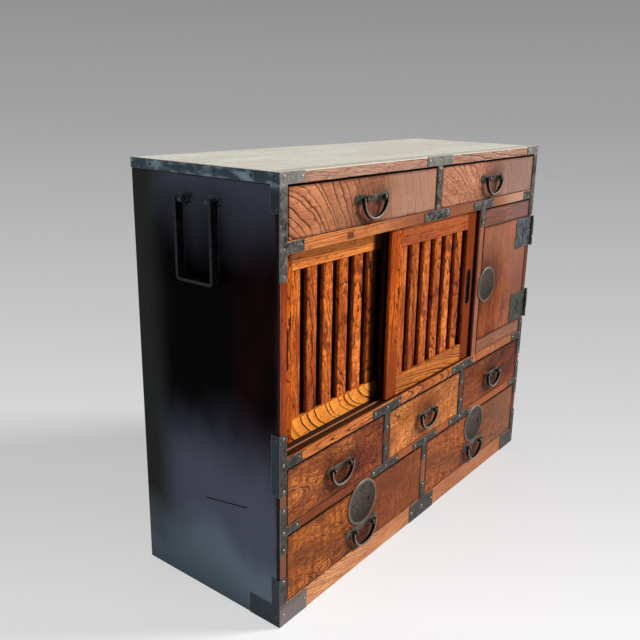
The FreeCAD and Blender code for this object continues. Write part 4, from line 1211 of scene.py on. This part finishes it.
def bail_bow(shape, x, z, radius):
    """Adds a bail forged to a squarish oval, thickest at the foot, with a pin into each eye."""
    ear = [(1.0, 0.3), (0.92, 0.8), (0.7, 1.0), (0.3, 1.0)]
    stations = [(math.pi, up, size) for up, size in ear]
    steps = 40
    stations += [(math.pi + math.pi * step / steps, 0.0, 1.0) for step in range(steps + 1)]
    stations += [(2 * math.pi, up, size) for up, size in reversed(ear)]
    sides = 16
    rows = []
    for angle, up, size in stations:
        thickness = bail_leg_thickness + (bail_foot_thickness - bail_leg_thickness) * math.sin(angle) ** 2
        row = []
        for side in range(sides):
            turn = 2 * math.pi * side / sides
            out = radius - thickness / 2 + size * thickness / 2 * squared(math.cos(turn))
            ahead = size * bail_half_depth * squared(math.sin(turn))
            spot = (x + out * math.cos(angle), bail_y + ahead, z + out * math.sin(angle) + up * bail_ear)
            row.append(shape.verts.new(spot))
        rows.append(row)
    for lower, upper in zip(rows, rows[1:]):
        for side in range(sides):
            after = (side + 1) % sides
            shape.faces.new((lower[side], lower[after], upper[after], upper[side])).smooth = True
    shape.faces.new(rows[0])
    shape.faces.new(rows[-1][::-1])
    start = radius - bail_leg_thickness / 2
    reach = start - (radius - post_inset - eye_width)
    profile = [(0, 0), (bail_pin_radius, 0), (bail_pin_radius, reach - bail_pin_ease), (0, reach)]
    for way in (-1, 1):
        turned(shape, profile, (x + way * start, bail_y, z), (-way, 0, 0), sides=16)


# Half length, half height at the waist and lobe radius of the plates in each row.
handle_sizes = {"top": (0.0595, 0.0064, 0.0115), "small": (0.042, 0.0050, 0.0080),
                "bottom": (0.0595, 0.0062, 0.0110)}
for drawer in drawer_looks:
    row = drawer.split("_")[0]
    length, waist, lobe = handle_sizes[row]
    body = drawer + "_drawer"
    locked = row == "bottom"
    mount = drawer + ("_lock_and_mount" if locked else "_handle_mount")
    bail_low, bail_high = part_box(drawer + "_bail")
    x = (bail_low.x + bail_high.x) / 2
    z = bail_high.z - bail_ear
    radius = (bail_high.x - bail_low.x) / 2
    post = radius - post_inset
    shape = bmesh.new()
    outline = plate_outline(length, waist, lobe, post, locked)
    outline_piece(shape, [outline], plate_thickness, plate_ease, facing_front(x, front_y, z))
    for side in (-1, 1):
        eye_post(shape, x + side * post, z)
        spot = (x + side * (length - lobe), front_y - plate_thickness, z)
        nail(shape, spot, (0, -1, 0), plate_nail_radius, plate_nail_height)
    piece(drawer + "_handle_plate", shape, body, "black_iron", plate_iron, mount)
    shape = bmesh.new()
    bail_bow(shape, x, z, radius)
    piece(drawer + "_bail_bow", shape, drawer + "_handle", "black_iron", bail_iron, drawer + "_bail")
    if locked:
        centre = Vector((x, front_y, z + drawer_lock_rise))
        front_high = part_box(drawer + "_drawer_front")[1]
        mouth = (x + keyhole_offset, front_high.y + case_depth / 2, front_high.z)
        shape = bmesh.new()
        lock_disc(shape, centre, drawer_lock_radius)
        lock_case(shape, mouth, Matrix.Identity(4), case_width, case_height)
        iron = lock_iron(drawer + "_lock_iron", centre, drawer_lock_radius)
        piece(drawer + "_lock_disc", shape, body, "black_iron", iron, mount)
        keyhole_shade(drawer + "_keyhole_shade", body, centre)
        dress_node(drawer + "_lock_bolt", bolt_iron, bolt_ease)


# Carrying handles. Tall loops of flat iron bar on the sides, for a pole or two pairs of hands;
# they swing in eye posts on small lobed plates with a nail in each lobe.
loop_ease = 0.0008
loop_eye_inset = 0.012
loop_eye_drop = 0.004
lobe_offset = 0.015
mount_nail_radius = 0.0034
mount_nail_height = 0.0018
loop_iron = black_iron(
    "loop_iron", tone(8, 8, 9), tone(18, 19, 21), tone(120, 124, 130), worn=0.1, metallic=0.4,
)
mount_iron = black_iron(
    "mount_iron", tone(26, 30, 35), tone(62, 70, 79), tone(146, 154, 162), metallic=0.4,
)
dress_node("left_carrying_loop", loop_iron, loop_ease)
dress_node("right_carrying_loop", loop_iron, loop_ease)
dress_node("carrying_loop_mounts", mount_iron, loop_ease)
loop_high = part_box("left_carrying_loop")[1]
plate_face = case_half + plate_thickness
shape = bmesh.new()
for side in (-1, 1):
    for end in (-1, 1):
        for lobe in (-1, 1):
            y = end * (loop_high.y - loop_eye_inset) + lobe * lobe_offset
            spot = (side * plate_face, y, loop_high.z - loop_eye_drop)
            nail(shape, spot, (side, 0, 0), mount_nail_radius, mount_nail_height)
piece("carrying_mount_nails", shape, "case", "black_iron", nail_iron)


# Camera. It stands where the photograph was taken, to the left of the chest and a little above
# its top, and looks down on it with a slight tilt.
camera_place = Vector((-1.485, -1.031, 1.030))
camera_heading = math.radians(-53.36)
camera_dip = math.radians(-15.68)
camera_tilt = math.radians(1.33)
lens = bpy.data.cameras.new("camera")
lens.lens = 41.99
lens.sensor_width = 36.0
lens.shift_x = -0.0325
lens.shift_y = -0.0273
camera = bpy.data.objects.new("camera", lens)
bpy.context.scene.collection.objects.link(camera)
turn = Matrix.Rotation(camera_heading, 4, "Z") @ Matrix.Rotation(math.pi / 2 + camera_dip, 4, "X")
camera.matrix_world = Matrix.Translation(camera_place) @ turn @ Matrix.Rotation(camera_tilt, 4, "Z")
bpy.context.scene.camera = camera
bpy.context.scene.view_settings.view_transform = "Standard"


# Studio. A pale floor that greys a little into the distance, broad soft light from the front
# right and above, and an even fill.
floor_half = 60.0
floor_far = tone(158, 158, 159)
floor_near = tone(252, 252, 252)
floor_greys_past = camera_place.z / 0.8
floor_greys_round = 2.2
least_ahead = 0.5
view_ahead = Vector((-math.sin(camera_heading), math.cos(camera_heading), 0.0))


def shown_directly(tree):
    """A mask of what is seen by the camera or mirrored, and not what lights other things."""
    path = tree.nodes.new("ShaderNodeLightPath").outputs
    mirrored = reckon(tree, "MAXIMUM", path["Is Glossy Ray"], path["Is Transmission Ray"])
    return reckon(tree, "MAXIMUM", path["Is Camera Ray"], mirrored)


def pale_floor():
    material, tree, shader, spot = open_finish("pale_floor")
    ahead = vary(tree, "DOT_PRODUCT", vary(tree, "SUBTRACT", spot, camera_place), view_ahead)
    by_view = reckon(tree, "DIVIDE", floor_greys_past, reckon(tree, "MAXIMUM", ahead, least_ahead))
    by_place = reckon(tree, "DIVIDE", floor_greys_round, vary(tree, "LENGTH", spot))
    share = reckon(tree, "MINIMUM", by_view, by_place)
    share = shift(tree, cloud(tree, spot, (1.5, 1.5, 1.5), 2), 0.02, share)
    colour = mix(tree, floor_far, floor_near, share)
    shown = shown_directly(tree)
    dimmed = mix(tree, colour, tone(172, 172, 172), shown, None, "MULTIPLY")
    tree.links.new(dimmed, shader.inputs["Base Color"])
    tree.links.new(mix(tree, tone(0, 0, 0), colour, shown), shader.inputs["Emission Color"])
    shader.inputs["Emission Strength"].default_value = 0.6
    shader.inputs["Roughness"].default_value = 0.9
    shader.inputs["Specular IOR Level"].default_value = 0.0
    return material


mesh = bpy.data.meshes.new("floor")
corners = [(-floor_half, -floor_half, 0), (floor_half, -floor_half, 0),
           (floor_half, floor_half, 0), (-floor_half, floor_half, 0)]
mesh.from_pydata(corners, [], [(0, 1, 2, 3)])
floor = bpy.data.objects.new("floor", mesh)
bpy.context.scene.collection.objects.link(floor)
dress(floor, pale_floor())

lamp = bpy.data.lights.new("key_light", "SUN")
lamp.energy = 3.9
lamp.angle = math.radians(14)
key_light = bpy.data.objects.new("key_light", lamp)
bpy.context.scene.collection.objects.link(key_light)
key_light.rotation_euler = Vector((-0.66, 0.62, -0.52)).to_track_quat("-Z", "Y").to_euler()

world = bpy.data.worlds.new("studio")
bpy.context.scene.world = world
world.use_nodes = True
tree = world.node_tree
background = tree.nodes["Background"]
height = split(tree, tree.nodes.new("ShaderNodeTexCoord").outputs["Generated"])["Z"]
backdrop = mix(tree, tone(159, 159, 160), tone(143, 143, 144), rise(tree, height, -0.02, 0.15))
fill = mix(tree, tone(138, 138, 141), backdrop, shown_directly(tree))
tree.links.new(fill, background.inputs["Color"])
background.inputs["Strength"].default_value = 1.0
